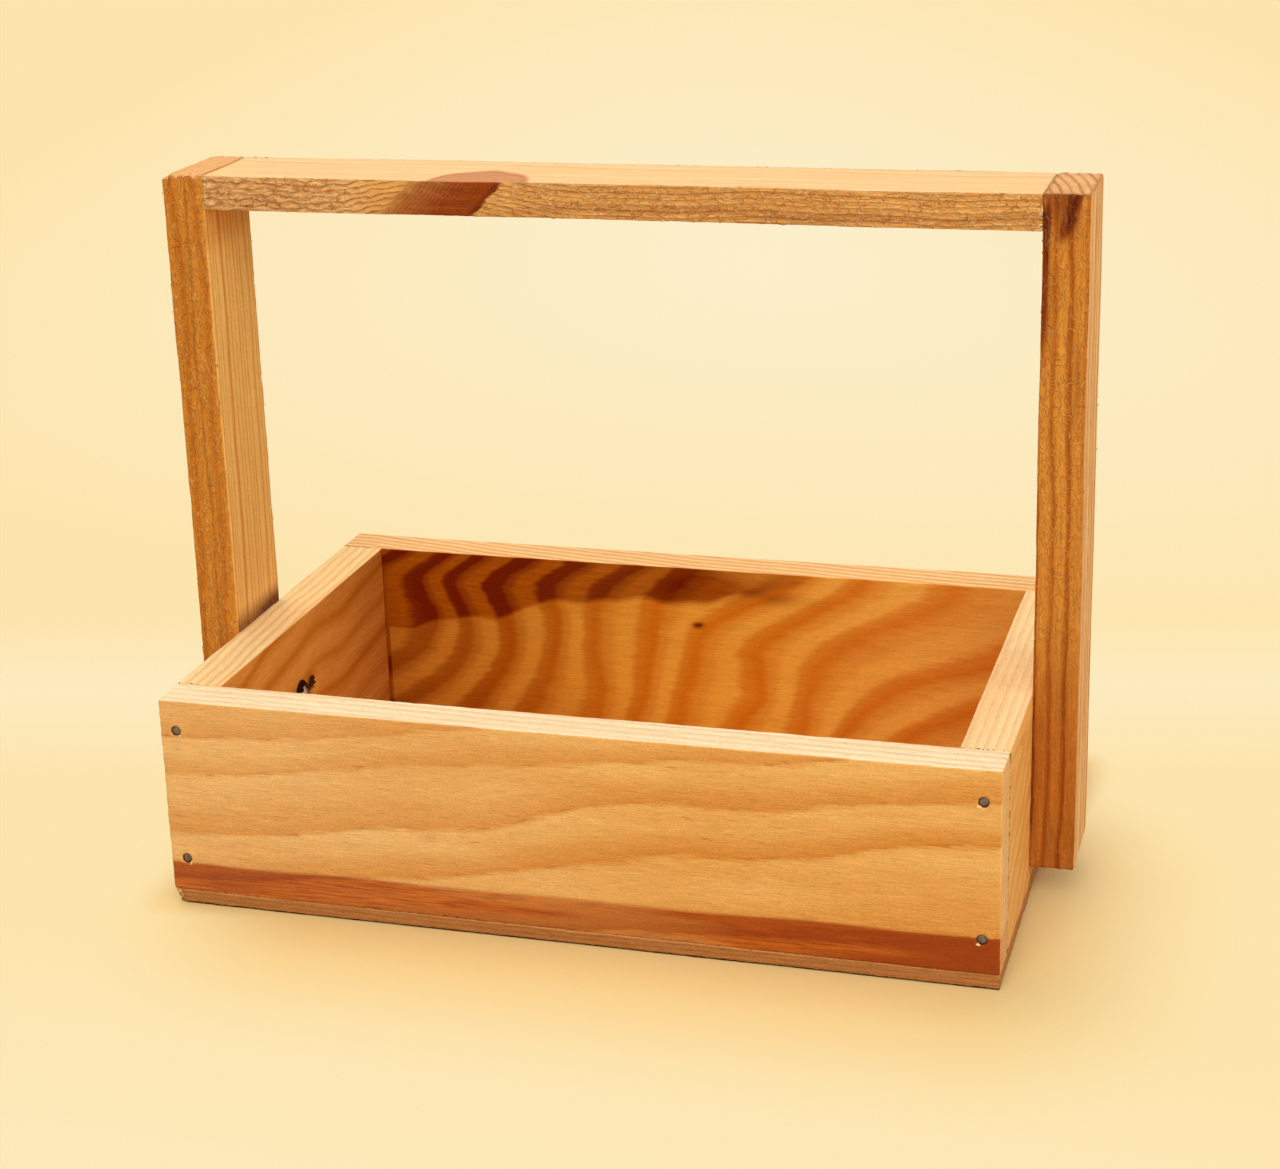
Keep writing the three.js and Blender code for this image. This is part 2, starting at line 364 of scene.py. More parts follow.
def softLight(sizes):
    world = bpy.data.worlds.new("studio")
    world.use_nodes = True
    tree = world.node_tree
    tree.nodes.clear()
    light = put(tree, "ShaderNodeBackground", sizes["skyColour"], sizes["skyLevel"])
    backdrop = put(tree, "ShaderNodeBackground", sizes["cream"], 1.0)
    endFinish(put(tree, "ShaderNodeMixShader", seenDirectly(tree), light, backdrop), "World")
    scene.world = world
    for name, (stand, aim, wide, watts, colour) in sizes["lamps"].items():
        lamp = bpy.data.lights.new(name, "AREA")
        lamp.size = wide
        lamp.energy = watts
        lamp.color = colour
        holder = bpy.data.objects.new(name, lamp)
        holder.location = stand
        holder.rotation_euler = (Vector(aim) - holder.location).to_track_quat("-Z", "Y").to_euler()
        scene.collection.objects.link(holder)


creamFloor(studio)
softLight(studio)
print("floor and light set")


# Every board is one rule: a block with eased, nicked edges and a sawn skin that follows the grain
def sawnBoardTree():
    tree, ask = newTree("sawnBoard", {
        "Half Size": "Vector", "Centre": "Vector", "Lines X": "Int", "Lines Y": "Int", "Lines Z": "Int",
        "Crowding": "Float", "Ease": "Float", "Ease Wander": "Float", "Nicks": "Float",
        "Grain Pitch": "Vector", "Tooth": "Vector", "Crests": "Vector", "Bow": "Float", "Seed": "Float",
        "Finish": "Material"})
    block = put(tree, "GeometryNodeMeshCube", (2, 2, 2), ask["Lines X"], ask["Lines Y"], ask["Lines Z"])
    spot = here(tree)
    inward = vec("MAXIMUM", vec("SUBTRACT", (1, 1, 1), vec("ABSOLUTE", spot)), (0, 0, 0))
    crowded = vec("SUBTRACT", (1, 1, 1), vec("POWER", inward, ask["Crowding"]))
    spread = vec("MULTIPLY", vec("SIGN", spot), crowded)  # lines crowd towards the edges
    flat = vec("MULTIPLY", spread, ask["Half Size"])
    inMm = vec("SCALE", vec("ADD", flat, ask["Centre"]), 1 / mm)

    def cloud(where, scale, detail, out=0):
        return noise(vec("SCALE", where, scale), ask["Seed"], detail, out=out)

    def drift(scale, detail, far):  # a smooth shift to any side
        shift = vec("SUBTRACT", cloud(inMm, scale, detail, out=1), (0.5, 0.5, 0.5))
        return vec("SCALE", shift, far)

    change = span(cloud(inMm, 0.11, 3.0), 0.3, 0.7, -1.0, 1.0)
    change = calc("MULTIPLY_ADD", change, ask["Ease Wander"], 1.0)
    nick = span(cloud(inMm, 0.45, 3.0), 0.58, 0.76)
    ease = calc("MULTIPLY_ADD", nick, ask["Nicks"], times(ask["Ease"], change))
    inner = vec("SUBTRACT", ask["Half Size"], ease)
    core = vec("MAXIMUM", vec("MINIMUM", flat, inner), vec("SCALE", inner, -1.0))
    facing = vec("NORMALIZE", vec("SUBTRACT", flat, core))
    rounded = vec("ADD", core, vec("SCALE", facing, ease))

    strands = vec("ADD", vec("MULTIPLY", inMm, ask["Grain Pitch"]), drift(0.16, 2.0, 2.2))
    ridge = span(noise(strands, ask["Seed"], 3.0, 0.6), 0.25, 0.75, -1.0, 1.0)
    fuzz = span(cloud(strands, 2.7, 2.0), 0.3, 0.7, -0.4, 0.4)
    worm = noise(vec("SCALE", strands, 0.8), plus(ask["Seed"], 31.0), 1.0)
    crest = span(calc("ABSOLUTE", minus(worm, 0.5)), 0.0, 0.07, 1.0, 0.0)
    share = vec("MULTIPLY", facing, facing)
    depth = times(plus(ridge, fuzz), vec("DOT_PRODUCT", share, ask["Tooth"]))
    depth = calc("MULTIPLY_ADD", crest, vec("DOT_PRODUCT", share, ask["Crests"]), depth)
    skin = vec("ADD", rounded, vec("SCALE", facing, depth))
    bent = vec("ADD", vec("ADD", skin, drift(0.02, 1.0, ask["Bow"])), ask["Centre"])

    carried = store(block, "facing", facing, "FLOAT_VECTOR")
    endTree(tree, moved(carried, Position=bent), ask["Finish"])
    return tree


boardTree = sawnBoardTree()


# One pine finish, drawn from the ring, heart, pale and grime fields that each board carries; besides
# heartwood, stains and grime, these fields also hold painted shade, painted shadow and painted highlights
def pineFinish(name, look):
    material, tree = newFinish(name)
    seed = look["seed"]
    where = put(tree, "ShaderNodeTexCoord", out=3)

    def streaks(wide, long):  # a streak's width and its length along the grain, in millimetres
        scale = [1 / (long if axis == look["grain"] else wide) / mm for axis in "XYZ"]
        return put(tree, "ShaderNodeMapping", named={"Vector": where, "Scale": scale})

    def streaked(size, offset, detail, rough=0.5):
        return noise(streaks(*size), seed + offset, detail, rough)

    sway = span(streaked((2.2, 14), 0.0, 3.0), 0.0, 1.0, -look["ringSway"], look["ringSway"])
    feather = span(streaked((0.45, 8), 41.0, 3.0), 0.0, 1.0, -look["feather"], look["feather"])
    ring = plus(sway, feather, painted(tree, "ring"))
    chance = put(tree, "ShaderNodeTexWhiteNoise", calc("FLOOR", ring), noise_dimensions="1D")
    part = calc("FRACT", ring)
    change = span(chance, 0.0, 1.0, 1.0, 1.0 - look["ringSpread"])
    late = times(ramp(part, look["lateProfile"]), change)
    pale, heart, saw = [painted(tree, label) for label in ("pale", "heart", "saw")]

    early = blend(pale, look["early"], look["paleEarly"])
    dark = blend(pale, look["late"], look["paleLate"])
    mottle = span(streaked((7, 45), 3.0, 3.0), 0.38, 0.66, 0.0, look["mottle"])
    early = blend(mottle, early, dark)
    wood = blend(late, early, dark)
    streak = span(streaked(look["heartSize"], 5.0, 3.0), 0.36, 0.64, 0.0, look["heartStreak"])
    widened = times(late, look["heartSpread"])
    deepest = most(widened, streak, minus(heart, 1.0))
    heartWood = blend(deepest, look["heartEarly"], look["heartLate"])
    heartWood = blend(pale, heartWood, look["paleHeart"])
    # the heart field also carries painted shade, drawn in the heartwood colours
    wood = blend(heart, wood, heartWood)

    fibre = streaked(look["fibreSize"], 7.0, 3.0, 0.6)
    grit = streaked((0.28, 0.5), 37.0, 2.0)
    light = span(fibre, 0.3, 0.7, 1.0 - look["fibre"], 1.0 + look["fibre"])
    light = times(light, span(grit, 0.3, 0.7, 1.0 - look["grit"], 1.0 + look["grit"]))
    wood = vec("SCALE", wood, light)
    fleck = span(streaked(look["fleckSize"], 11.0, 1.0), 0.68, 0.78, 0.0, look["fleck"])
    pit = span(streaked((0.8, 1.3), 13.0, 1.0), 0.74, 0.80, 0.0, look["pits"])
    crack = ramp(part, ((0.95, 0.0), (0.97, 1.0), (0.985, 1.0), (1.0, 0.0)))  # along the late wood
    broken = span(streaked((1.4, 8), 31.0, 2.0), 0.5, 0.6, 0.0, look["checks"])
    broken = times(broken, minus(1.0, heart))
    mark = most(fleck, pit, times(crack, broken))
    wood = blend(mark, wood, look["fleckColour"])

    curl = vec("SCALE", noise(streaks(2.6, 5), seed + 17.0, 2.0, out=1), 2.6)
    worm = noise(vec("ADD", streaks(0.9, 2.4), curl), seed + 19.0, 1.0)
    crest = span(calc("ABSOLUTE", minus(worm, 0.5)), 0.0, 0.05, 1.0, 0.0)
    crest = times(crest, saw)
    # painted shade in the hollows of the sawn skin, and a painted highlight on its crests
    hollow = times(span(worm, 0.53, 0.60), span(worm, 0.70, 0.60), saw)
    wood = blend(times(hollow, look["sawShade"]), wood, look["fleckColour"])
    wood = blend(times(crest, look["sawLight"]), wood, look["paleEarly"])

    def ragged(label, offset):  # a soft painted field, broken up into specks with sharp edges
        speck = streaked((0.55, 0.95), offset, 3.0, 0.6)
        return span(calc("MULTIPLY_ADD", speck, 1.3, painted(tree, label)), 1.15, 1.27)

    # the grime field also carries painted shade and a painted shadow, drawn in the grime colour
    grime = ragged("grime", 29.0)
    wood = blend(ragged("chip", 23.0), wood, look["chipColour"])
    wood = blend(grime, wood, look["grimeColour"])

    height = calc("MULTIPLY_ADD", late, 0.35, fibre)
    height = calc("MULTIPLY_ADD", crest, 1.6, height)
    height = minus(height, most(mark, grime))
    gloss = span(fibre, 0.3, 0.7, look["rough"] + 0.08, look["rough"] - 0.08)
    surface = put(tree, "ShaderNodeBsdfPrincipled", named={
        "Base Color": wood, "Roughness": gloss, "Normal": bumped(look["bump"], 0.12, height),
        "Specular IOR Level": look["specular"], "Coat Weight": look["varnish"], "Coat Roughness": 0.32})
    endFinish(surface)
    return material


basicLook = {
    "ringSway": 0.18, "ringSpread": 0.45, "feather": 0.05, "mottle": 0.35,
    "fibre": 0.08, "fibreSize": (0.3, 3.0), "grit": 0.06, "fleck": 0.5, "fleckSize": (0.2, 1.9),
    "pits": 0.35, "checks": 0.3, "heartStreak": 1.0, "heartSize": (0.9, 16.0), "heartSpread": 1.0,
    "sawShade": 0.3, "sawLight": 0.3, "bump": 0.6, "rough": 0.55, "specular": 0.2, "varnish": 0.03,
    "lateProfile": ((0.0, 0.0), (0.35, 0.1), (0.78, 0.75), (0.93, 1.0), (1.0, 0.0)),
    "paleEarly": tint(252, 216, 156), "paleLate": tint(236, 174, 104), "paleHeart": tint(206, 140, 92),
    "heartEarly": tint(206, 114, 40), "heartLate": tint(160, 66, 14), "chipColour": tint(250, 212, 158),
    "fleckColour": tint(158, 88, 24), "grimeColour": tint(74, 34, 10),
}
woodFields = ("ring", "heart", "pale", "saw", "chip", "grime")


def refine(mesh, spot, reach):  # smaller faces round a mark
    work = bmesh.new()
    work.from_mesh(mesh)
    near = [face for face in work.faces if (face.calc_center_median() / mm - Vector(spot)).length < reach]
    edges = list({edge for face in near for edge in face.edges})
    bmesh.ops.subdivide_edges(work, edges=edges, cuts=3, use_grid_fill=True)
    work.to_mesh(mesh)
    work.free()


def sawnBoard(piece, figure, carve=None):
    low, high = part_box(piece["node"])
    grain = piece["look"]["grain"]
    look = {**basicLook, **piece["look"]}
    pitch = [piece["pitch"][0] if axis == grain else piece["pitch"][1] for axis in "XYZ"]
    sizes = {
        "Half Size": (high - low) / 2, "Centre": (high + low) / 2,
        "Lines X": piece["lines"][0], "Lines Y": piece["lines"][1], "Lines Z": piece["lines"][2],
        "Crowding": 1.3, "Ease": piece["ease"] * mm, "Ease Wander": piece["wander"],
        "Nicks": piece["nicks"] * mm, "Grain Pitch": pitch, "Tooth": [t * mm for t in piece["tooth"]],
        "Crests": [t * mm for t in piece.get("crests", (0, 0, 0))], "Bow": piece["bow"] * mm,
        "Seed": float(look["seed"]), "Finish": pineFinish(piece["node"] + "_pine", look)}
    mesh = grow(piece["node"] + "_wood", boardTree, sizes)
    for spot, reach in piece.get("refine", ()):
        refine(mesh, spot, reach)
    spots, facing = readMesh(mesh)
    box = (low / mm, high / mm)
    drawn = figure(*spots.T, facing, box)
    paint(mesh, {label: drawn.get(label, 0 * spots[:, 0]) for label in woodFields})
    if carve:
        writeMesh(mesh, carve(spots, facing, box))
    place(piece["node"] + "_wood", mesh, piece["slot"], piece["node"])
    print(piece["node"], "sawn with", len(mesh.polygons), "faces")
    return mesh


# Which way a face looks: 1 on the faces named, fading out over their edges
def upward(facing):
    return rise(0.5, 0.9, facing[:, 2])


def frontward(facing):
    return rise(0.5, 0.9, -facing[:, 1])


def rightward(facing):
    return rise(0.5, 0.9, facing[:, 0])


def frontAndBack(facing):
    return rise(0.5, 0.9, np.abs(facing[:, 1]))


def leftAndRight(facing):
    return rise(0.5, 0.9, np.abs(facing[:, 0]))


# The four walls are planed alike, with slightly worn edges
longWall = {
    "slot": "wall_pine", "lines": (330, 24, 90), "pitch": (0.10, 0.9), "ease": 0.28, "wander": 0.6,
    "nicks": 0.35, "tooth": (0.10, 0.035, 0.05), "bow": 0.35}
endWall = {**longWall, "lines": (24, 200, 96), "nicks": 0.4, "tooth": (0.035, 0.10, 0.05), "bow": 0.3}

# Front board: wavy flat-sawn bands that climb to the right, with a red heartwood strip along the foot
frontBoard = {
    **longWall, "node": "front_board",
    "stations": (-76, -54.5, -39.5, -27, -16.5, 3.5, 20.5, 35, 46.5, 55, 63, 76),  # along the board
    "edges": (  # heights of the sharp lower edges of the bands, from the foot up
        (-18, -16, -14, -12, -11, -8, -5, -3, -1, 1, 3, 5),
        (-6, -4, -2, 0, 1, 2.5, 4, 5, 5.5, 6, 6.5, 7),
        (5, 6.5, 8.5, 10, 11.5, 15.5, 19.6, 20, 21.4, 23.7, 25.4, 26.4),
        (14, 15.6, 18.2, 19.5, 19.6, 26.3, 29.3, 28.9, 31, 32.3, 33.2, 34.3),
        (25.8, 27.2, 30.3, 31.7, 32.4, 34.5, 36.8, 37.8, 39, 40.5, 42, 44),
        (33, 33.8, 35.9, 37.7, 39.5, 42, 44.5, 46, 47.5, 49, 50.5, 53),
        (42, 43, 45, 46.5, 48, 51, 53.5, 55, 56.5, 58, 60, 62)),
    "strip": (8.2, 9.4),  # height of the heartwood's upper edge at the left and at the right
    "spots": (  # resin and smudges: place, height, halves, strength
        (-25, 18, 1.3, 0.9, 0.35), (-69, 7.2, 3.0, 1.0, 0.4), (-64, 4.5, 9, 1.1, 0.8),
        (-38, 7.4, 9, 0.5, 0.4), (-12, 5.6, 12, 0.6, 0.5), (33, 8.0, 15, 0.6, 0.6), (52, 5.0, 9, 0.7, -0.6)),
    "chips": (72.4, (33.5, 8.3)),  # under the pins: how far from the middle, and the heights
    "look": {
        "grain": "X", "seed": 3, "early": tint(246, 190, 108), "late": tint(220, 142, 54),
        "paleEarly": tint(255, 240, 206), "paleLate": tint(248, 212, 154), "fleckColour": tint(184, 100, 26),
        "heartEarly": tint(216, 116, 30), "heartLate": tint(152, 58, 8), "heartStreak": 0.85,
        "heartSize": (0.45, 8.0), "ringSway": 0.12, "feather": 0.1, "mottle": 0.45, "checks": 0.5,
        "fibre": 0.16, "fibreSize": (0.16, 3.5), "fleck": 0.9, "fleckSize": (0.14, 3.0), "grit": 0.1,
        "lateProfile": ((0.0, 0.5), (0.05, 0.0), (0.35, 0.1), (0.78, 0.7), (0.94, 0.95), (1.0, 0.5))},
}
pinNodes = [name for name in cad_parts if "_pin_" in name]


def pinSpots(side):  # where the pins of one board have their heads, in millimetres
    spots = []
    for node in pinNodes:
        if node.startswith(side):
            low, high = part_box(node)
            spots.append((low + high) / 2 / mm)
    return spots


def roundPins(x, z, side, radius, soft):  # 1 on the heads of one board's pins, falling off outside them
    near = [np.hypot(x - spot.x, z - spot.z) for spot in pinSpots(side)]
    return rise(radius + soft, radius, np.min(near, axis=0))


def seams(x, z, inner, facing, box):  # grime on a long wall's ends and foot, and at the corners of its rim
    low, high = box
    seam = rise(1.3, 0.2, inner) * leftAndRight(facing) + 0.7 * rise(0.7, 0.1, z - low.z)
    corner = upward(facing) * rise(1.0, 0.2, inner) * rise(high.x - 9, high.x - 8, np.abs(x))
    return seam, corner


def frontFigure(x, y, z, facing, box):
    low, high = box
    front, ends = frontward(facing), leftAndRight(facing)
    edges = [list(zip(frontBoard["stations"], heights)) for heights in frontBoard["edges"]]
    ring = (y - low.y) / 2.2 - between(z, edges, x)
    left, right = frontBoard["strip"]
    strip = left + (right - left) * (x - low.x) / (high.x - low.x) + swell(x, (41, 0.15, 0.2))
    deeper = 1.0 - 0.3 * mound(x - 8, 0, 32, 1) + 0.9 * rise(20, 58, x)
    heart = rise(0.35, -0.35, z - strip) * deeper * (1 - 0.8 * ends)
    for spotX, spotZ, halfLong, halfTall, strength in frontBoard["spots"]:
        heart = heart + strength * front * mound(x - spotX, z - spotZ, halfLong, halfTall)
    chipAlong, chipHeights = frontBoard["chips"]
    offHeight = np.min([np.abs(z - height) for height in chipHeights], axis=0)
    chips = front * mound(np.abs(x) - chipAlong, offHeight, 0.7, 0.5)
    seam, corner = seams(x, z, high.y - y, facing, box)
    return {"ring": ring, "heart": heart, "chip": 0.7 * chips,
            "pale": np.maximum(0.95 * upward(facing), 0.25 * ends + 0.12 * rise(30, -50, x)),
            "grime": 0.7 * seam + 0.45 * corner + 0.9 * front * roundPins(x, z, "front_", 0.85, 0.2)}


def sinkPins(side, outward):  # a hollow with a small raised rim round each pin of a long board
    def carve(spots, facing, box):
        x, y, z = spots.T
        face = rise(0.5, 0.9, outward * facing[:, 1])
        rim = roundPins(x, z, side, 1.4, 0.8) - roundPins(x, z, side, 0.95, 0.4)
        depth = 0.45 * roundPins(x, z, side, 0.72, 0.3) - 0.09 * rim
        y -= outward * face * depth
        return spots
    return carve


def finerRound(side, faceY):  # smaller faces round the heads of one board's pins
    return [((spot.x, faceY, spot.z), 1.9) for spot in pinSpots(side)]


frontBoard["refine"] = finerRound("front_", -49)
sawnBoard(frontBoard, frontFigure, sinkPins("front_", -1))

# Back board: the bold figure that shows inside, with a dark stain along its top
backBoard = {
    **longWall, "node": "back_board",
    "bands": (  # middles of the dark bands: depth below the rim, and place from the left inside corner
        ((0, -4), (6, -12), (11, -9), (16, -10), (21, -14), (28, -24), (38, -40)),
        ((0, 6), (2, 2), (4, -3), (9, -8), (15, -8), (20, -8), (25, -14), (38, -30)),
        ((0, 16), (3, 11), (6, 7), (11, 10), (15, 11.5), (20, 9.5), (24.5, 5), (27, -0.5), (38, -18)),
        ((0, 23), (3, 18), (6, 14.5), (10, 16.5), (15, 18.5), (20.5, 18), (27, 14.5), (32, 7.5), (38, -2)),
        ((0, 33.5), (3, 28), (6.5, 24), (10.5, 26.5), (15.5, 28), (22, 27.5), (28, 23.5), (33, 20),
         (38, 15)),
        ((0, 45), (3.5, 39), (7, 36), (11.5, 38.5), (18, 38), (24, 36.5), (32, 32.5), (38, 29)),
        ((0, 58), (3, 52), (6, 48.5), (11, 46.5), (17, 46), (23.5, 46.5), (28.5, 48), (34, 46.5), (38, 45)),
        ((0, 67), (2, 65), (6, 61), (11, 59.5), (16, 59), (22.5, 57.5), (29, 57), (33.5, 55), (38, 53)),
        ((0, 92), (4, 86), (7, 80), (11.5, 71), (15.5, 68.5), (22, 67), (28, 65), (38, 63)),
        ((0, 104), (4, 100), (7.5, 94), (13, 84.5), (17.5, 80), (22.5, 81.5), (27.5, 82.5), (33, 77.5),
         (38, 74)),
        ((0, 123), (4, 118), (7.5, 113), (13, 100.5), (18.5, 94), (25, 91.5), (38, 90)),
        ((0, 152), (9, 146), (14, 136), (17, 128.5), (21.5, 113), (27, 105), (33, 99.5), (38, 97)),
        ((0, 172), (16, 158), (21, 142), (24.5, 129.5), (32.5, 114), (38, 106)),
        ((0, 190), (16, 180), (25, 160), (33, 140), (38, 128))),
    "stainFoot": (  # place, and depth below the rim
        (0, 18), (11, 16.5), (19, 14.5), (29, 13), (34, 10.5), (44, 8.5), (55, 8), (70, 7), (80, 5),
        (92, 1)),
    "stainDepth": ((0, 1), (30, 1), (42, 0.95), (55, 0.9), (70, 0.88), (85, 0.5), (95, 0)),
    "blots": (  # place, depth below the rim, halves, strength
        (2, 16.5, 4, 1.2, 0.2), (8, 8, 5, 5, 0.2), (72, 4.6, 7, 2.4, 0.5), (86, 5.4, 5, 1.5, 0.5)),
    "knot": (68.5, 12.2),
    "shadyEnd": (75, 4),  # painted shade: the inside face darkens from the first place to the second
    "look": {
        "grain": "X", "seed": 17, "early": tint(239, 172, 64), "late": tint(211, 113, 0),
        "paleEarly": tint(253, 214, 156), "paleLate": tint(230, 166, 102), "heartStreak": 0.3,
        "heartEarly": tint(172, 88, 6), "heartLate": tint(112, 30, 0), "heartSpread": 1.4,
        "lateProfile": ((0.1, 0.0), (0.31, 0.8), (0.5, 1.0), (0.72, 0.48), (0.95, 0.0)),
        "ringSpread": 0.2, "ringSway": 0.1, "feather": 0.08, "mottle": 0.2, "fleck": 0.35, "fibre": 0.11,
        "fibreSize": (0.25, 4.5), "specular": 0.05, "varnish": 0.0, "checks": 0.0},
}


def backFigure(x, y, z, facing, box):
    low, high = box
    inside, outside = frontward(facing), rise(0.5, 0.9, facing[:, 1])
    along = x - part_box("left_end_board")[1].x / mm
    deep = high.z - z
    ring = between(along, backBoard["bands"], deep) + 0.5 + (y - low.y) / 2.0
    foot = glide(along, backBoard["stainFoot"], 3.0) + swell(along, (21, 0.5, 0.1), (9.3, 0.3, 0.6))
    heart = rise(1.2, -1.0, deep - foot) * glide(along, backBoard["stainDepth"], 3.0)
    heart = np.maximum(heart, 0.68 * rise(*backBoard["shadyEnd"], along))
    heart = np.maximum(heart, 1.2 * rise(1.4, 0.3, along))  # painted shade in the inside corner
    for blotAlong, blotDeep, halfLong, halfTall, strength in backBoard["blots"]:
        heart = heart + strength * mound(along - blotAlong, deep - blotDeep, halfLong, halfTall)
    knotAlong, knotDeep = backBoard["knot"]
    heart = np.maximum(heart, 1.5 * mound(along - knotAlong, deep - knotDeep, 1.3, 0.6))
    pale = np.maximum(0.9 * upward(facing), 0.45 * leftAndRight(facing))
    seam, corner = seams(x, z, y - low.y, facing, box)
    # painted light: the inside face is paler towards the right end
    return {"ring": ring, "heart": heart * inside, "pale": pale + 0.1 * inside * rise(70, 130, along),
            "grime": 0.42 * seam + 0.5 * corner + 0.9 * outside * roundPins(x, z, "back_", 0.85, 0.2)}


backBoard["refine"] = finerRound("back_", 49)
sawnBoard(backBoard, backFigure, sinkPins("back_", 1))

# Left end board: level bands that rise a little to the back, and torn wood beside the handle screw
leftEndBoard = {
    **endWall, "node": "left_end_board",
    "gouge": (0.5, 25.1, 2.1, 1.4),  # place along the board, height, half length, half height
    "refine": [((-67.6, -0.8, 25.2), 4.5)],  # round the gouge
    "look": {
        "grain": "Y", "seed": 29, "early": tint(236, 166, 76), "late": tint(204, 120, 30),
        "paleEarly": tint(255, 226, 168), "paleLate": tint(240, 186, 118),
        "heartEarly": tint(178, 92, 14), "heartLate": tint(132, 54, 2), "ringSway": 0.1, "checks": 0.0,
        "lateProfile": ((0.0, 0.0), (0.3, 0.2), (0.6, 1.0), (0.8, 0.4), (1.0, 0.0)),
        "specular": 0.05, "varnish": 0.0},
}


def leftEndFigure(x, y, z, facing, box):
    low, high = box
    inside = rightward(facing)
    waves = swell(y, (60, 1.2, 0.3), (24, 0.5, 0.1))
    ring = -(z - 0.10 * y - waves) / 7.2 + (x - low.x) / 2.0
    middle, height, halfLong, halfTall = leftEndBoard["gouge"]
    torn = inside * mound(y - middle + 1.8, z - height, 1.3, 2.0)
    hole = inside * mound(y - middle, z - height, halfLong, halfTall)
    ends = rise(1.0, 0.1, np.minimum(y - low.y, high.y - y))
    deeper = 0.55 * inside * rise(-5, 40, y)  # painted shade: darker into the corner
    # painted shade in the back corner, beside the back board
    deeper = np.maximum(deeper, 1.2 * inside * rise(1.2, 0.2, high.y - y))
    # painted shade: the hole in the gouge is darkened through the grime field
    return {"ring": ring, "heart": np.maximum(1.2 * torn, deeper), "pale": 0.95 * upward(facing),
            "chip": 0.25 * torn,
            "grime": 1.5 * hole + 0.45 * ends * (1 - inside) + 0.35 * rise(0.7, 0.1, z - low.z)}


def tearGouge(spots, facing, box):
    middle, height, halfLong, halfTall = leftEndBoard["gouge"]
    x, y, z = spots.T
    hole = mound(y - middle, z - height, halfLong, halfTall)
    lip = mound(y - middle + 1.6, z - height - 0.4, 0.8, 1.0)
    x += rightward(facing) * (0.35 * lip - 1.1 * hole)
    return spots


sawnBoard(leftEndBoard, leftEndFigure, tearGouge)

# Right end board: slanting streaks on the outside, wavy lines on its rim
rightEndBoard = {
    **endWall, "node": "right_end_board",
    "postMiddle": -3.5, "postHalf": 9.9,  # the post that stands against its outside, along Y
    "look": {
        "grain": "Y", "seed": 41, "early": tint(246, 188, 106), "late": tint(222, 144, 62), "mottle": 0.5,
        "paleEarly": tint(255, 224, 170), "paleLate": tint(244, 194, 128)},
}


def rightEndFigure(x, y, z, facing, box):
    low, high = box
    waves = swell(y, (44, 1.0, 0.6), (17, 0.5, 0.2))
    ring = (z - (0.35 * y + waves) * rise(0, 6, high.z - z)) / 5.5 + (high.x - x) / 1.7
    ends = rise(1.2, 0.1, np.minimum(y - low.y, high.y - y))
    pastPost = np.abs(y - rightEndBoard["postMiddle"]) - rightEndBoard["postHalf"]
    underPost = rightward(facing) * rise(0.6, 0.2, pastPost)
    return {"ring": ring, "pale": 0.95 * upward(facing), "chip": 0.3 * ends * upward(facing),
            "grime": 0.5 * ends + 0.4 * underPost + 0.4 * rise(0.8, 0.1, z - low.z)}


sawnBoard(rightEndBoard, rightEndFigure)

# Posts: rough-sawn fronts with upright streaks, finer lines on the broad sides
post = {
    "slot": "batten_pine", "lines": (32, 48, 420), "pitch": (0.16, 0.9), "ease": 0.45, "wander": 0.6,
    "nicks": 0.5, "bow": 0.5}
postLook = {
    "grain": "Z", "early": tint(224, 148, 56), "late": tint(170, 84, 8), "fibre": 0.12,
    "fibreSize": (0.3, 9.0), "grit": 0.09, "pits": 0.6, "bump": 0.9, "rough": 0.62, "varnish": 0.0,
    "specular": 0.1, "mottle": 0.3, "ringSway": 0.25, "ringSpread": 0.4, "sawShade": 0.15, "sawLight": 0.18,
    "lateProfile": ((0.2, 0.0), (0.42, 0.8), (0.55, 1.0), (0.68, 0.25), (0.85, 0.0)), "checks": 0.2,
    "paleEarly": tint(252, 196, 118), "paleLate": tint(190, 110, 40), "paleHeart": tint(130, 72, 40),
    "heartEarly": tint(166, 72, 8), "heartLate": tint(92, 26, 0)}
leftPost = {
    **post, "node": "left_post", "tooth": (0.05, 0.065, 0.12), "crests": (0, 0.12, 0.1),
    "corner": 4.5,  # radius of its outer back edge at the top
    "shade": 119,  # height of the shade under the crossbar
    "look": {
        **postLook, "seed": 53, "early": tint(219, 141, 50), "late": tint(194, 110, 26), "mottle": 0.2,
        "ringSway": 0.15, "paleEarly": tint(255, 209, 122), "paleLate": tint(226, 150, 66),
        "sawShade": 0.08, "sawLight": 0.24, "chipColour": tint(234, 172, 122)},
}
rightPost = {
    **post, "node": "right_post", "tooth": (0.05, 0.08, 0.12), "crests": (0, 0.11, 0.1), "corner": 2.2,
    "look": {**postLook, "seed": 67, "paleEarly": tint(254, 204, 140), "paleHeart": tint(150, 92, 62)},
}
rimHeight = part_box("front_board")[1].z / mm


def topBorder(x, y, facing, box):  # the browner edges of a post's top
    low, high = box
    inset = np.minimum.reduce([x - low.x, high.x - x, y - low.y, high.y - y])
    return upward(facing) * (0.27 + 0.3 * rise(1.0, 0.2, inset))


def topArcs(ring, inner, deep, facing):  # end grain on a post's top, counted from its inner and front faces
    arcs = np.hypot(inner + 16, deep / 2 + 6) / 1.6
    return ring + (arcs - ring) * upward(facing)


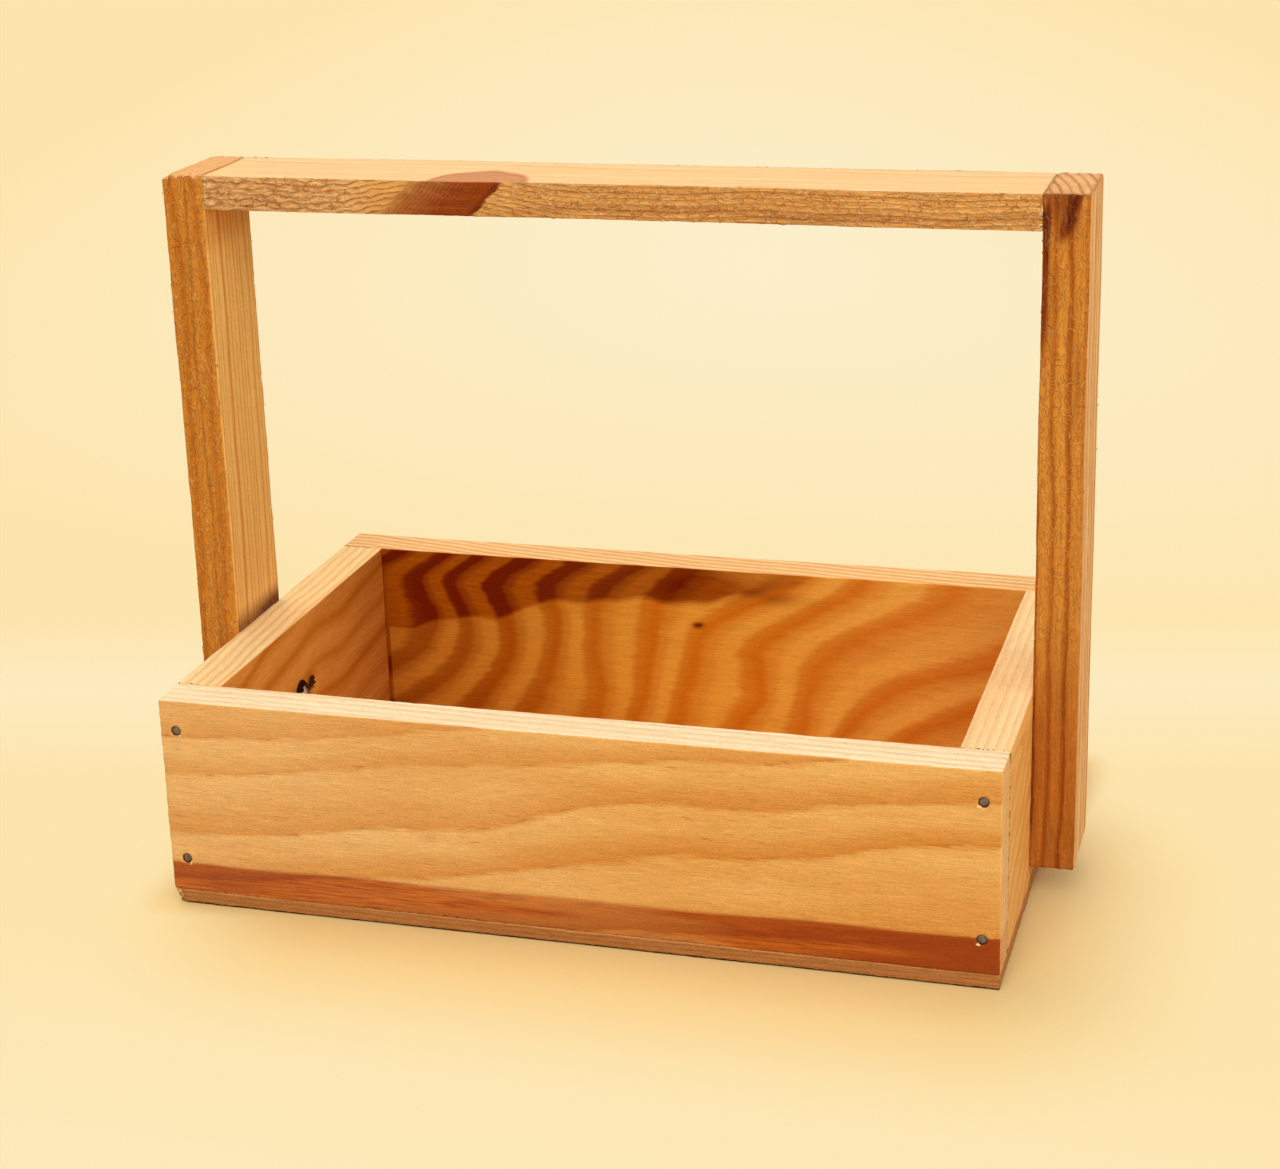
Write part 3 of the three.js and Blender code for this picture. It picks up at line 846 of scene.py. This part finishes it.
def leftPostFigure(x, y, z, facing, box):
    low, high = box
    deep = y - low.y
    waves = swell(z, (150, 0.16, 0.1), (48, 0.07, 0.5))
    layers = (deep + swell(y, (9.1, 0.5, 0.3), (5.3, 0.3, 0.1))) / 1.7
    ring = topArcs((x - low.x - 4.4) / 4.4 + 0.5 + layers + waves, high.x - x, deep, facing)
    inner = rightward(facing)
    # painted shade on the inner face, in the crease just above the rim
    rimShade = inner * rise(rimHeight + 5.0, rimHeight + 0.3, z) * rise(rimHeight - 0.5, rimHeight, z)
    rimShade = rimShade * (0.7 + 0.3 * rise(-8, 6, y))
    # painted shade on the inner face under the crossbar
    under = inner * rise(6, 1, np.abs(z - leftPost["shade"]))
    split = mound(x - low.x - 4.2 - swell(z, (60, 0.25, 0.2), (23, 0.12, 0.6)), 0, 0.28, 1)
    split = 0.45 * split * frontward(facing)
    pale = np.maximum(0.95 * leftAndRight(facing), upward(facing)) - 0.4 * under
    heart = np.maximum.reduce([1.2 * rimShade, split, topBorder(x, y, facing, box)])
    return {"ring": ring, "heart": heart, "pale": pale, "saw": frontAndBack(facing),
            "chip": 0.57 * upward(facing), "grime": 0.5 * rimShade}


def rightPostFigure(x, y, z, facing, box):
    low, high = box
    across, deep, down = x - low.x, y - low.y, high.z - z
    waves = swell(z, (130, 0.12, 0.4), (41, 0.05, 0.1))
    layers = (deep + swell(y, (11.3, 0.9, 0.3), (6.1, 0.4, 0.7))) / 3.2
    ring = topArcs((across - 3.1) / 2.7 + 0.5 + layers + waves, across, deep, facing)
    front = frontward(facing)
    slash = mound(across - 5.8 + 0.32 * down, 0, 0.9, 1) * rise(9.5, 5, down)
    edge = mound(across - 0.2, 0, 1.0, 1) * rise(1, 4, down) * rise(34, 18, down)
    crown = 0.75 * rise(9, 1, down) * rise(6.8, 5.4, across)
    foot = 0.45 * rise(rimHeight + 20, rimHeight - 8, z)
    streak = 0.5 * mound(across - 6.4, down - 32, 0.7, 8)
    heart = (1.5 * slash + 1.7 * edge + crown + foot + streak) * front + topBorder(x, y, facing, box)
    pale = np.maximum(0.85 * leftAndRight(facing), upward(facing))
    seam = rise(0.8, 0.1, across) * rise(rimHeight + 1, rimHeight - 1, z)
    rough = 0.8 - 0.5 * rise(rimHeight + 14, rimHeight + 2, z)  # smoother below the rim
    return {"ring": ring, "heart": heart, "pale": pale, "saw": rough * frontAndBack(facing),
            "grime": 0.5 * seam * front}


def easeCorner(spots, cornerX, cornerY, radius, top):  # wears an upright edge round, most near its top
    sideX = np.sign(cornerX)
    centre = np.array([cornerX - sideX * radius, cornerY - radius])
    offset = spots[:, :2] - centre
    reach = np.hypot(*offset.T)
    outside = (offset[:, 0] * sideX > 0) & (offset[:, 1] > 0) & (reach > radius)
    worn = centre + offset * (radius / np.maximum(reach, radius))[:, None]
    share = (outside * (0.25 + 0.75 * rise(16, 3, top - spots[:, 2])))[:, None]
    spots[:, :2] += (worn - spots[:, :2]) * share
    return spots


def tearTop(spots, facing, box):  # ragged upper front edge of the left post, and its rounded outer corner
    low, high = box
    x, y, z = spots.T
    teeth = np.clip(0.35 + swell(x, (1.9, 0.3, 0.1), (0.83, 0.18, 0.4)), 0, 1)
    z -= teeth * rise(1.3, 0.2, y - low.y) * rise(3.0, 0.2, high.z - z)
    z -= 0.7 * rise(1.8, 0, x - low.x) ** 2 * rise(3.0, 0.2, high.z - z)
    return easeCorner(spots, low.x, high.y, leftPost["corner"], high.z)


def wearTop(spots, facing, box):
    high = box[1]
    return easeCorner(spots, high.x, high.y, rightPost["corner"], high.z)


leftPostMesh = sawnBoard(leftPost, leftPostFigure, tearTop)
rightPostMesh = sawnBoard(rightPost, rightPostFigure, wearTop)

# Crossbar: a rough-sawn front with a slanting red knot, and a planed top
crossbar = {
    "node": "crossbar", "slot": "batten_pine", "lines": (520, 44, 34), "pitch": (0.22, 1.0), "ease": 0.35,
    "wander": 0.7, "nicks": 0.5, "tooth": (0.10, 0.065, 0.04), "crests": (0, 0.12, 0), "bow": 0.4,
    "knotFront": (-26.2, 0.96, 7.8),  # middle at the top, slant, half width
    "knotTop": (-23.3, 9.3, 10.0),  # middle, half width, reach from the front
    "scales": 0.7,  # height of the torn ridges
    "tornFrom": (-40, -50),  # where the tearing of the face starts, and where it is full
    "look": {
        **postLook, "grain": "X", "seed": 79, "early": tint(245, 183, 102), "late": tint(164, 90, 26),
        "lateProfile": ((0.0, 0.0), (0.5, 0.05), (0.78, 0.4), (0.93, 1.0), (1.0, 0.0)),
        "ringSpread": 0.35, "ringSway": 0.1, "fibre": 0.14, "fibreSize": (0.32, 14.0), "checks": 0.3,
        "paleEarly": tint(249, 206, 152), "paleLate": tint(237, 186, 124), "paleHeart": tint(202, 126, 86),
        "heartEarly": tint(162, 73, 18), "heartLate": tint(98, 32, 2), "heartStreak": 0.5,
        "heartSpread": 0.7, "sawShade": 0.14, "sawLight": 0.4},
}


def barRing(x, y, z, low):  # grain lines that climb to the knot from both sides
    bend = 3.4 * mound(x - crossbar["knotFront"][0] + 3, 0, 15, 1)
    ripple = swell(x + 2.1 * z, (7.3, 0.16, 0.1)) + swell(x - 1.3 * z, (4.1, 0.12, 0.5), (2.2, 0.06, 0.2))
    ripple = ripple * rise(-34, -46, x)
    crowd = 1.06 - 0.16 * mound(x - crossbar["knotFront"][0], 0, 20, 1)
    level = (z - low.z) / crowd + (y - low.y) / 4.5 - bend
    return level + swell(x, (58, 0.3, 0.2), (23, 0.15, 0.6)) + ripple


def calmed(x):  # 1 where the face left of the knot is smoother
    return mound(x + 41, 0, 9, 1)


def standing(x, z):  # 1 where the torn ridges stand whole, 0 where they have broken off
    return 0.5 + swell(x + 1.7 * z, (5.3, 0.3, 0.3)) + swell(x - 2.3 * z, (3.4, 0.2, 0.6))


def ridges(x, z, low):  # 0 to 1 across each torn ridge on the front
    return np.modf(barRing(x, low.y, z, low) + 20)[0]


def crossbarFigure(x, y, z, facing, box):
    low, high = box
    front, top = frontward(facing), upward(facing)
    topMiddle, slant, halfWide = crossbar["knotFront"]
    ring = barRing(x, y, z, low)
    offset = x - topMiddle - slant * (z - high.z)
    across = offset - swell(z, (3.1, 0.3, 0.2))
    knot = rise(-halfWide - 3.5, -halfWide + 1.5, across) * rise(halfWide + 0.4, halfWide - 0.5, across)
    knot = knot * front
    ring = ring + ((offset + swell(z, (4.3, 0.2, 0.4))) / 0.9 - ring) * rise(0.3, 0.7, knot)
    edge = 0.5 * mound(offset - halfWide + 0.6, 0, 0.7, 1)
    knot = knot * (0.78 + 0.42 * rise(-halfWide, halfWide, offset) + edge)
    straight = (y - low.y) / 3.1 + swell(x, (58, 0.2, 0.2)) + 0.4 * swell(y, (7.7, 0.5, 0.3))
    ring = ring + (straight - ring) * top
    middle, wide, reach = crossbar["knotTop"]
    lens = np.hypot(*np.abs([(x - middle) / wide, (y - low.y) / reach]) ** 0.85) + swell(x, (6.7, 0.03, 0.2))
    oval = (0.75 * rise(1.1, 0.88, lens) + 0.3 * mound(lens - 0.97, 0, 0.07, 1)) * top
    ring = ring + (4 * lens - ring) * rise(0.3, 0.7, oval)
    # painted shade along the far edge of the top
    farEdgeShade = 0.45 * top * rise(high.y - 1.1, high.y - 0.2, y)
    crack = mound(offset - halfWide, 0, 0.3, 1) * front
    ends = rise(1.2, 0.2, high.x - np.abs(x))
    torn = ridges(x, z, low)
    left = rise(*crossbar["tornFrom"], x) * front
    swept = calmed(x) * front
    ridgeShade = np.maximum(0.5 * left * standing(x, z), 0.55 * swept)
    ridgeShade = ridgeShade * mound(torn - 0.95, 0, 0.08, 1)  # painted shade between the torn ridges
    # painted highlight on the faces of the torn ridges, through the pale field
    back = 0.9 * left * mound(torn - 0.35, 0, 0.25, 1)
    streak = mound(z - low.z - 1.7 - swell(x, (70, 0.5, 0.1), (27, 0.3, 0.5)), 0, 0.75, 1)
    streak = 0.4 * streak * rise(-22, -6, x) * front  # browner along its lower edge
    rough = frontAndBack(facing)
    return {"ring": ring, "heart": np.maximum.reduce([knot, oval, farEdgeShade, ridgeShade, streak]),
            "pale": np.maximum(top - 0.3 * oval, back), "saw": rough * (1 - 0.85 * knot) * (1 - 0.8 * swept),
            "chip": 0.55 * ends * rough, "grime": 0.42 * ends + 0.6 * crack}


def tearScales(spots, facing, box):  # the saw tore the grain up into ridges, most of all at the left
    low, high = box
    x, y, z = spots.T
    torn = ridges(x, z, low)
    topMiddle, slant, halfWide = crossbar["knotFront"]
    strength = 0.2 + 0.8 * rise(*crossbar["tornFrom"], x) * standing(x, z)
    offset = np.abs(x - topMiddle - slant * (z - high.z))
    strength = strength * rise(0.7, 1.2, offset / halfWide)  # smooth knot
    side = np.where(np.abs(facing[:, 1]) > 0.6, facing[:, 1], 0)
    y += side * crossbar["scales"] * strength * (torn - 0.6)
    y += 0.75 * calmed(x) * (facing[:, 1] < -0.6) * (low.y - y)
    return spots


crossbarMesh = sawnBoard(crossbar, crossbarFigure, tearScales)

# Base: a thin raw sheet, greyer than the walls, with a chipped front corner
baseBoard = {
    "node": "base_board", "slot": "base_sheet", "lines": (240, 150, 12), "pitch": (0.10, 0.9), "ease": 0.3,
    "wander": 0.7, "nicks": 0.5, "tooth": (0.10, 0.10, 0.03), "bow": 0.0,
    "chip": (2.6, 0.9, 0.5),  # reach from the corner, and how far it is worn back along X and Y
    "look": {
        "grain": "X", "seed": 97, "early": tint(191, 125, 64), "late": tint(167, 103, 49),
        "paleEarly": tint(228, 170, 100), "paleLate": tint(206, 142, 76), "fleckColour": tint(112, 62, 24),
        "lateProfile": ((0.0, 0.0), (0.3, 0.3), (0.6, 1.0), (0.8, 0.4), (1.0, 0.0)), "checks": 0.0,
        "varnish": 0.0, "rough": 0.68, "grit": 0.16, "fibre": 0.16, "pits": 0.7, "fleck": 0.7},
}


def baseFigure(x, y, z, facing, box):
    low, high = box
    flat = np.abs(facing[:, 2])
    sheets = (y + swell(y, (47, 4, 0.2), (21, 1.2, 0.6))) / 7
    ring = (z - low.z) / 0.9 + sheets + x / 160 + swell(x, (210, 0.5, 0.3))
    foot = rise(0.98, 0.9, flat) * rise(0.55, 0.15, z - low.z)  # painted shadow: dark where it meets the floor
    return {"ring": ring, "pale": 0.8 * flat, "chip": 0.5 * mound(x - low.x, y - low.y, 2.2, 2.2),
            "grime": 0.45 * (1 - flat) * rise(0.5, 0.05, high.z - z) + 1.1 * foot}


def chipCorner(spots, facing, box):
    low, high = box
    x, y, z = spots.T
    reach, backX, backY = baseBoard["chip"]
    near = rise(reach, 0, x - low.x) * rise(reach, 0, y - low.y)
    x += backX * near * rise(high.z, low.z, z)
    y += backY * near
    z[:] = np.maximum(z, low.z + 0.02)  # nothing below the floor
    return spots


sawnBoard(baseBoard, baseFigure, chipCorner)
print("boards done")


# Fasteners: a cloud of points says where each one is driven, which way and how deep
def driven(name, nodes, ways):  # ways are (start of the node's name, direction of the drive)
    spots, drives, reaches = [], [], []
    for node in nodes:
        low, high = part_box(node)
        drive = Vector(next(way for start, way in ways if node.startswith(start)))
        middle, half = (low + high) / 2, (high - low) / 2
        reach = abs(half.dot(drive))
        spots.append(middle - drive * reach)  # the outer end of the head
        drives.append(drive)
        reaches.append(2 * reach)
    mesh = bpy.data.meshes.new(name)
    mesh.from_pydata(spots, [], [])
    layer = mesh.attributes.new("drive", "FLOAT_VECTOR", "POINT")
    layer.data.foreach_set("vector", np.array(drives, np.float32).ravel())
    paint(mesh, {"reach": reaches})
    return mesh


def setOn(tree, points, shape, offset, scale):  # one copy of a shape at each point, along its drive
    drive = stored(tree, "drive", "FLOAT_VECTOR")
    turn = put(tree, "FunctionNodeAlignRotationToVector", named={"Vector": drive}, axis="Z")
    spots = moved(points, Offset=vec("SCALE", drive, offset))
    return put(tree, "GeometryNodeInstanceOnPoints", named={
        "Points": spots, "Instance": shape, "Rotation": turn, "Scale": scale})


def headDisc(tree, ask, *faces):  # a plain head, how far out its points lie (squared), 1 on its outer face
    disc = put(tree, "GeometryNodeMeshCylinder", *faces, ask["Head Radius"], ask["Head Thickness"])
    x, y, z = axes(here(tree))
    away = calc("SQRT", plus(times(x, x), times(y, y)))
    share = calc("DIVIDE", away, ask["Head Radius"])
    outer = span(z, 0.0, times(ask["Head Thickness"], -0.5))
    return disc, times(share, share), outer, x, y


def sunk(tree, ask, disc, fall):  # a head with its outer face at the start of the drive, less the fall
    lowered = plus(fall, times(ask["Head Thickness"], 0.5))
    return moved(disc, Offset=put(tree, "ShaderNodeCombineXYZ", 0.0, 0.0, lowered))


def rod(tree, ask, sides, rings, width):  # a shank one metre long, as wide as width says all along it
    shape = put(tree, "GeometryNodeMeshCylinder", sides, rings, 1, ask["Shank Radius"], 1.0)
    x, y, z = axes(here(tree))
    wide = width(x, y, z)
    spot = (times(x, wide), times(y, wide), plus(z, 0.5))
    return moved(shape, Position=put(tree, "ShaderNodeCombineXYZ", *spot))


def onPoints(tree, ask, head, shank):  # a head at each point, and a shank behind it to the end of the drive
    free = minus(stored(tree, "reach"), ask["Head Thickness"])
    stretch = put(tree, "ShaderNodeCombineXYZ", 1.0, 1.0, free)
    both = tree.nodes.new("GeometryNodeJoinGeometry")
    for shape, start, scale in ((head, 0.0, (1, 1, 1)), (shank, ask["Head Thickness"], stretch)):
        tree.links.new(setOn(tree, ask["Geometry"], shape, start, scale), both.inputs[0])
    return both.outputs[0]


# Wire pins: flat hammered heads and pointed shanks, in millimetres by the names of the tree's inputs
wirePins = {"Head Radius": 0.85, "Head Thickness": 0.5, "Dome": 0.12, "Shank Radius": 0.6, "Dents": 0.05}


def wirePinTree():
    tree, ask = newTree("wirePins", {
        **dict.fromkeys(wirePins, "Float"), "Seed": "Float", "Finish": "Material"})
    disc, square, outer = headDisc(tree, ask, 20, 2, 4)[:3]
    head = sunk(tree, ask, disc, times(outer, square, ask["Dome"]))

    def pointed(x, y, z):
        return span(z, 0.30, 0.5, 1.0, 0.12)

    shank = rod(tree, ask, 12, 12, pointed)
    solid = put(tree, "GeometryNodeRealizeInstances", onPoints(tree, ask, head, shank))
    spot = vec("SCALE", here(tree), 1.6 / mm)
    dent = minus(noise(spot, ask["Seed"], 2.0), 0.5)
    push = vec("SCALE", put(tree, "GeometryNodeInputNormal"), times(dent, ask["Dents"]))
    endTree(tree, moved(solid, Offset=push), ask["Finish"])
    return tree


def metalFinish(name, look):  # dull drawn steel, or blackened steel worn bright here and there; the cross recess is painted pale, as bare metal and as a painted highlight
    material, tree = newFinish(name)
    where = put(tree, "ShaderNodeTexCoord", out=3)
    coarse = noise(vec("SCALE", where, 0.9 / mm), look["seed"], 3.0)
    fine = noise(vec("SCALE", where, 4.5 / mm), look["seed"] + 3.0, 2.0)
    colour = blend(span(coarse, 0.38, 0.62), look["dark"], look["bright"])
    colour = blend(span(fine, 0.58, 0.75, 0.0, 0.6), colour, look["worn"])
    # painted highlight: the cross recess is coloured pale, as bare metal and as the head's highlight
    colour = blend(times(painted(tree, "recess"), 0.9), colour, look["bare"])
    low, high = look["rough"]
    surface = put(tree, "ShaderNodeBsdfPrincipled", named={
        "Base Color": colour, "Metallic": look["metal"], "Normal": bumped(0.35, 0.05, fine),
        "Specular IOR Level": look["specular"], "Roughness": span(coarse, 0.3, 0.7, high, low)})
    endFinish(surface)
    return material


dullSteel = metalFinish("dullSteel", {
    "seed": 7.0, "dark": tint(98, 84, 72), "bright": tint(138, 122, 108), "worn": tint(170, 152, 134),
    "bare": tint(170, 152, 134), "rough": (0.42, 0.62), "metal": 0.35, "specular": 0.5})
pinWays = (("base_", (0, 0, 1)), ("front_", (0, 1, 0)), ("back_", (0, -1, 0)),
           ("left_handle_", (1, 0, 0)), ("right_handle_", (-1, 0, 0)))
pinMesh = grow("wire_pins", wirePinTree(), {
    **inMetres(wirePins), "Seed": 5.0, "Finish": dullSteel}, driven("pinPoints", pinNodes, pinWays))
place("wire_pins", pinMesh, "pin_steel", *pinNodes)
print(len(pinNodes), "pins driven")

# Handle screws: blackened round heads with a cross recess, and threaded shanks
handleScrews = {
    "Head Radius": 2.6, "Head Thickness": 1.9, "Dome": 1.0, "Slot Half": 0.42, "Slot Length": 1.3,
    "Slot Depth": 0.5, "Shank Radius": 1.1, "Thread Depth": 0.3}
threadPitch = 1.3  # millimetres


def handleScrewTree():
    tree, ask = newTree("handleScrews", {
        **dict.fromkeys(handleScrews, "Float"), "Thread Turns": "Float", "Finish": "Material"})
    disc, square, outer, x, y = headDisc(tree, ask, 72, 4, 22)
    curve = calc("SQRT", most(0.0, minus(1.0, square)))
    fall = times(minus(1.0, curve), outer, ask["Dome"])

    def within(value, limit, soft):  # 1 up to the limit on both sides, then a soft edge
        return span(calc("ABSOLUTE", value), limit, times(limit, soft), 1.0, 0.0)

    def slot(across, along):
        return times(within(across, ask["Slot Half"], 1.5), within(along, ask["Slot Length"], 1.12))

    cross = times(most(slot(x, y), slot(y, x)), outer)
    sink = calc("MULTIPLY_ADD", cross, ask["Slot Depth"], fall)
    head = sunk(tree, ask, store(disc, "recess", cross), sink)

    def threaded(x, y, z):
        angle = calc("DIVIDE", calc("ARCTAN2", y, x), 2 * math.pi)
        turn = calc("FRACT", calc("MULTIPLY_ADD", z, ask["Thread Turns"], angle))
        ridge = minus(1.0, calc("ABSOLUTE", calc("MULTIPLY_ADD", turn, 2.0, -1.0)))
        depth = calc("DIVIDE", ask["Thread Depth"], ask["Shank Radius"])
        wider = calc("MULTIPLY_ADD", times(ridge, ridge), depth, 1.0)
        return times(wider, span(z, 0.36, 0.5, 1.0, 0.1))

    shank = rod(tree, ask, 20, 90, threaded)
    endTree(tree, onPoints(tree, ask, head, shank), ask["Finish"])
    return tree


screwNodes = [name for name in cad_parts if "_screw_" in name]
screwLow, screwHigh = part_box(screwNodes[0])
threadLong = (screwHigh - screwLow).x / mm - handleScrews["Head Thickness"]
blackSteel = metalFinish("blackSteel", {
    "seed": 11.0, "dark": tint(24, 9, 4), "bright": tint(44, 20, 9), "worn": tint(92, 52, 28),
    "bare": tint(240, 212, 186), "rough": (0.4, 0.55), "metal": 0.0, "specular": 0.03})
screwMesh = grow("handle_screws", handleScrewTree(), {
    **inMetres(handleScrews), "Thread Turns": threadLong / threadPitch, "Finish": blackSteel},
    driven("screwPoints", screwNodes, (("left_", (-1, 0, 0)), ("right_", (1, 0, 0)))))
place("handle_screws", screwMesh, "screw_black", *screwNodes)
print(len(screwNodes), "screws driven")

# Loose fibres that the saw left standing on the battens
sawnFibres = {
    "density": {"crossbar": 0.4, "left_post": 0.2, "right_post": 0.2},  # on each square millimetre
    "sizes": {"Shortest": 0.6, "Longest": 1.9, "Thinnest": 0.08, "Thickest": 0.14, "Lift": 0.14},
    "turns": {"Least Turn": 0.8, "Most Turn": 3.0, "Heading": 0.9},  # radians
    "overhang": (0.05, 0.3, 0.05),  # how far fibres may stand out of their batten
    "seed": 4,
}


def sawnFibreTree(sizes):
    tree, ask = newTree("sawnFibres", {
        "Density": "Float", "Grain": "Vector", **dict.fromkeys([*sizes["sizes"], *sizes["turns"]], "Float"),
        "Low": "Vector", "High": "Vector", "Seed": "Int", "Finish": "Material"})

    def chance(low, high, offset):
        limits = {"Min": low, "Max": high, "Seed": plus(ask["Seed"], offset)}
        return put(tree, "FunctionNodeRandomValue", named=limits, data_type="FLOAT")

    scatter = tree.nodes.new("GeometryNodeDistributePointsOnFaces")
    rough = put(tree, "FunctionNodeCompare", stored(tree, "saw"), 0.6, data_type="FLOAT",
                operation="GREATER_THAN")
    feeds = {"Mesh": ask["Geometry"], "Selection": rough, "Density": ask["Density"], "Seed": ask["Seed"]}
    for label, value in feeds.items():
        tree.links.new(value, scatter.inputs[label])
    points = scatter.outputs["Points"]
    handed = calc("SIGN", chance(-1.0, 1.0, 4))
    carried = {
        "root": ("FLOAT_VECTOR", here(tree)),
        "outward": ("FLOAT_VECTOR", scatter.outputs["Normal"]),
        "strand": ("FLOAT", chance(ask["Shortest"], ask["Longest"], 1)),
        "bore": ("FLOAT", chance(ask["Thinnest"], ask["Thickest"], 2)),
        "bend": ("FLOAT", times(chance(ask["Least Turn"], ask["Most Turn"], 3), handed)),
        "course": ("FLOAT", chance(times(ask["Heading"], -1.0), ask["Heading"], 5)),
        "tipLift": ("FLOAT", times(ask["Lift"], chance(0.1, 1.0, 6)))}
    for label, (kind, value) in carried.items():
        points = store(points, label, value, kind)
    straw = put(tree, "GeometryNodeMeshCylinder", 4, 7, 1, 1.0, 1.0)
    copies = put(tree, "GeometryNodeInstanceOnPoints", named={"Points": points, "Instance": straw})
    solid = put(tree, "GeometryNodeRealizeInstances", copies)

    root, outward = [stored(tree, label, "FLOAT_VECTOR") for label in ("root", "outward")]
    strand, bend, course = [stored(tree, label) for label in ("strand", "bend", "course")]
    aside, above, upTo = axes(vec("SUBTRACT", here(tree), root))
    share = plus(upTo, 0.5)
    angle = times(share, bend)
    arm = calc("DIVIDE", strand, bend)  # the radius of the curl
    slim = times(stored(tree, "bore"), span(share, 0.35, 1.0, 1.0, 0.3))
    side = times(aside, slim)
    sine, cosine = calc("SINE", angle), calc("COSINE", angle)
    ahead = minus(times(arm, sine), times(side, sine))
    across = plus(times(arm, minus(1.0, cosine)), times(side, cosine))
    square = times(share, share)
    raised = calc("MULTIPLY_ADD", square, stored(tree, "tipLift"), times(above, slim))
    sine, cosine = calc("SINE", course), calc("COSINE", course)
    along = minus(times(ahead, cosine), times(across, sine))
    beside = plus(times(ahead, sine), times(across, cosine))
    sideways = vec("CROSS_PRODUCT", outward, ask["Grain"])
    spot = root
    for way, far in ((ask["Grain"], along), (sideways, beside), (outward, raised)):
        spot = vec("ADD", spot, vec("SCALE", way, far))
    spot = vec("MAXIMUM", vec("MINIMUM", spot, ask["High"]), ask["Low"])
    endTree(tree, moved(solid, Position=spot), ask["Finish"])
    return tree


def fibreFinish():
    material, tree = newFinish("sawnFibre")
    where = vec("SCALE", put(tree, "ShaderNodeTexCoord", out=3), 1 / mm)
    patch = span(noise(vec("SCALE", where, 0.35), 3.0, 2.0), 0.35, 0.65)
    thread = span(noise(vec("SCALE", where, 3.0), 5.0, 2.0), 0.3, 0.7)
    colour = blend(patch, tint(186, 110, 36), tint(218, 150, 68))
    colour = blend(times(thread, 0.3), colour, tint(236, 176, 100))
    colour = blend(painted(tree, "heart"), colour, tint(142, 62, 12))  # as dark as their wood
    surface = put(tree, "ShaderNodeBsdfPrincipled", named={
        "Base Color": colour, "Roughness": span(patch, 0.0, 1.0, 0.6, 0.75),
        "Normal": bumped(0.3, 0.03, thread), "Specular IOR Level": 0.15})
    endFinish(surface)
    return material


def growFibres(sizes):
    tree = sawnFibreTree(sizes)
    finish = fibreFinish()
    work = bmesh.new()
    battens = (("crossbar", crossbarMesh, (1, 0, 0), 0), ("left_post", leftPostMesh, (0, 0, 1), 20),
               ("right_post", rightPostMesh, (0, 0, 1), 40))
    overhang = Vector(sizes["overhang"]) * mm
    for node, batten, grain, offset in battens:
        low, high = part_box(node)
        part = grow(node + "_fibres", tree, {
            "Low": low - overhang, "High": high + overhang, "Density": sizes["density"][node] / mm ** 2,
            "Grain": grain, **inMetres(sizes["sizes"]), **sizes["turns"], "Seed": sizes["seed"] + offset,
            "Finish": finish}, batten)
        work.from_mesh(part)
        bpy.data.meshes.remove(part)
    mesh = bpy.data.meshes.new("sawn_fibres")
    work.to_mesh(mesh)
    work.free()
    mesh.materials.append(finish)
    place("sawn_fibres", mesh, "batten_pine")
    print("fibres with", len(mesh.polygons), "faces")


growFibres(sawnFibres)
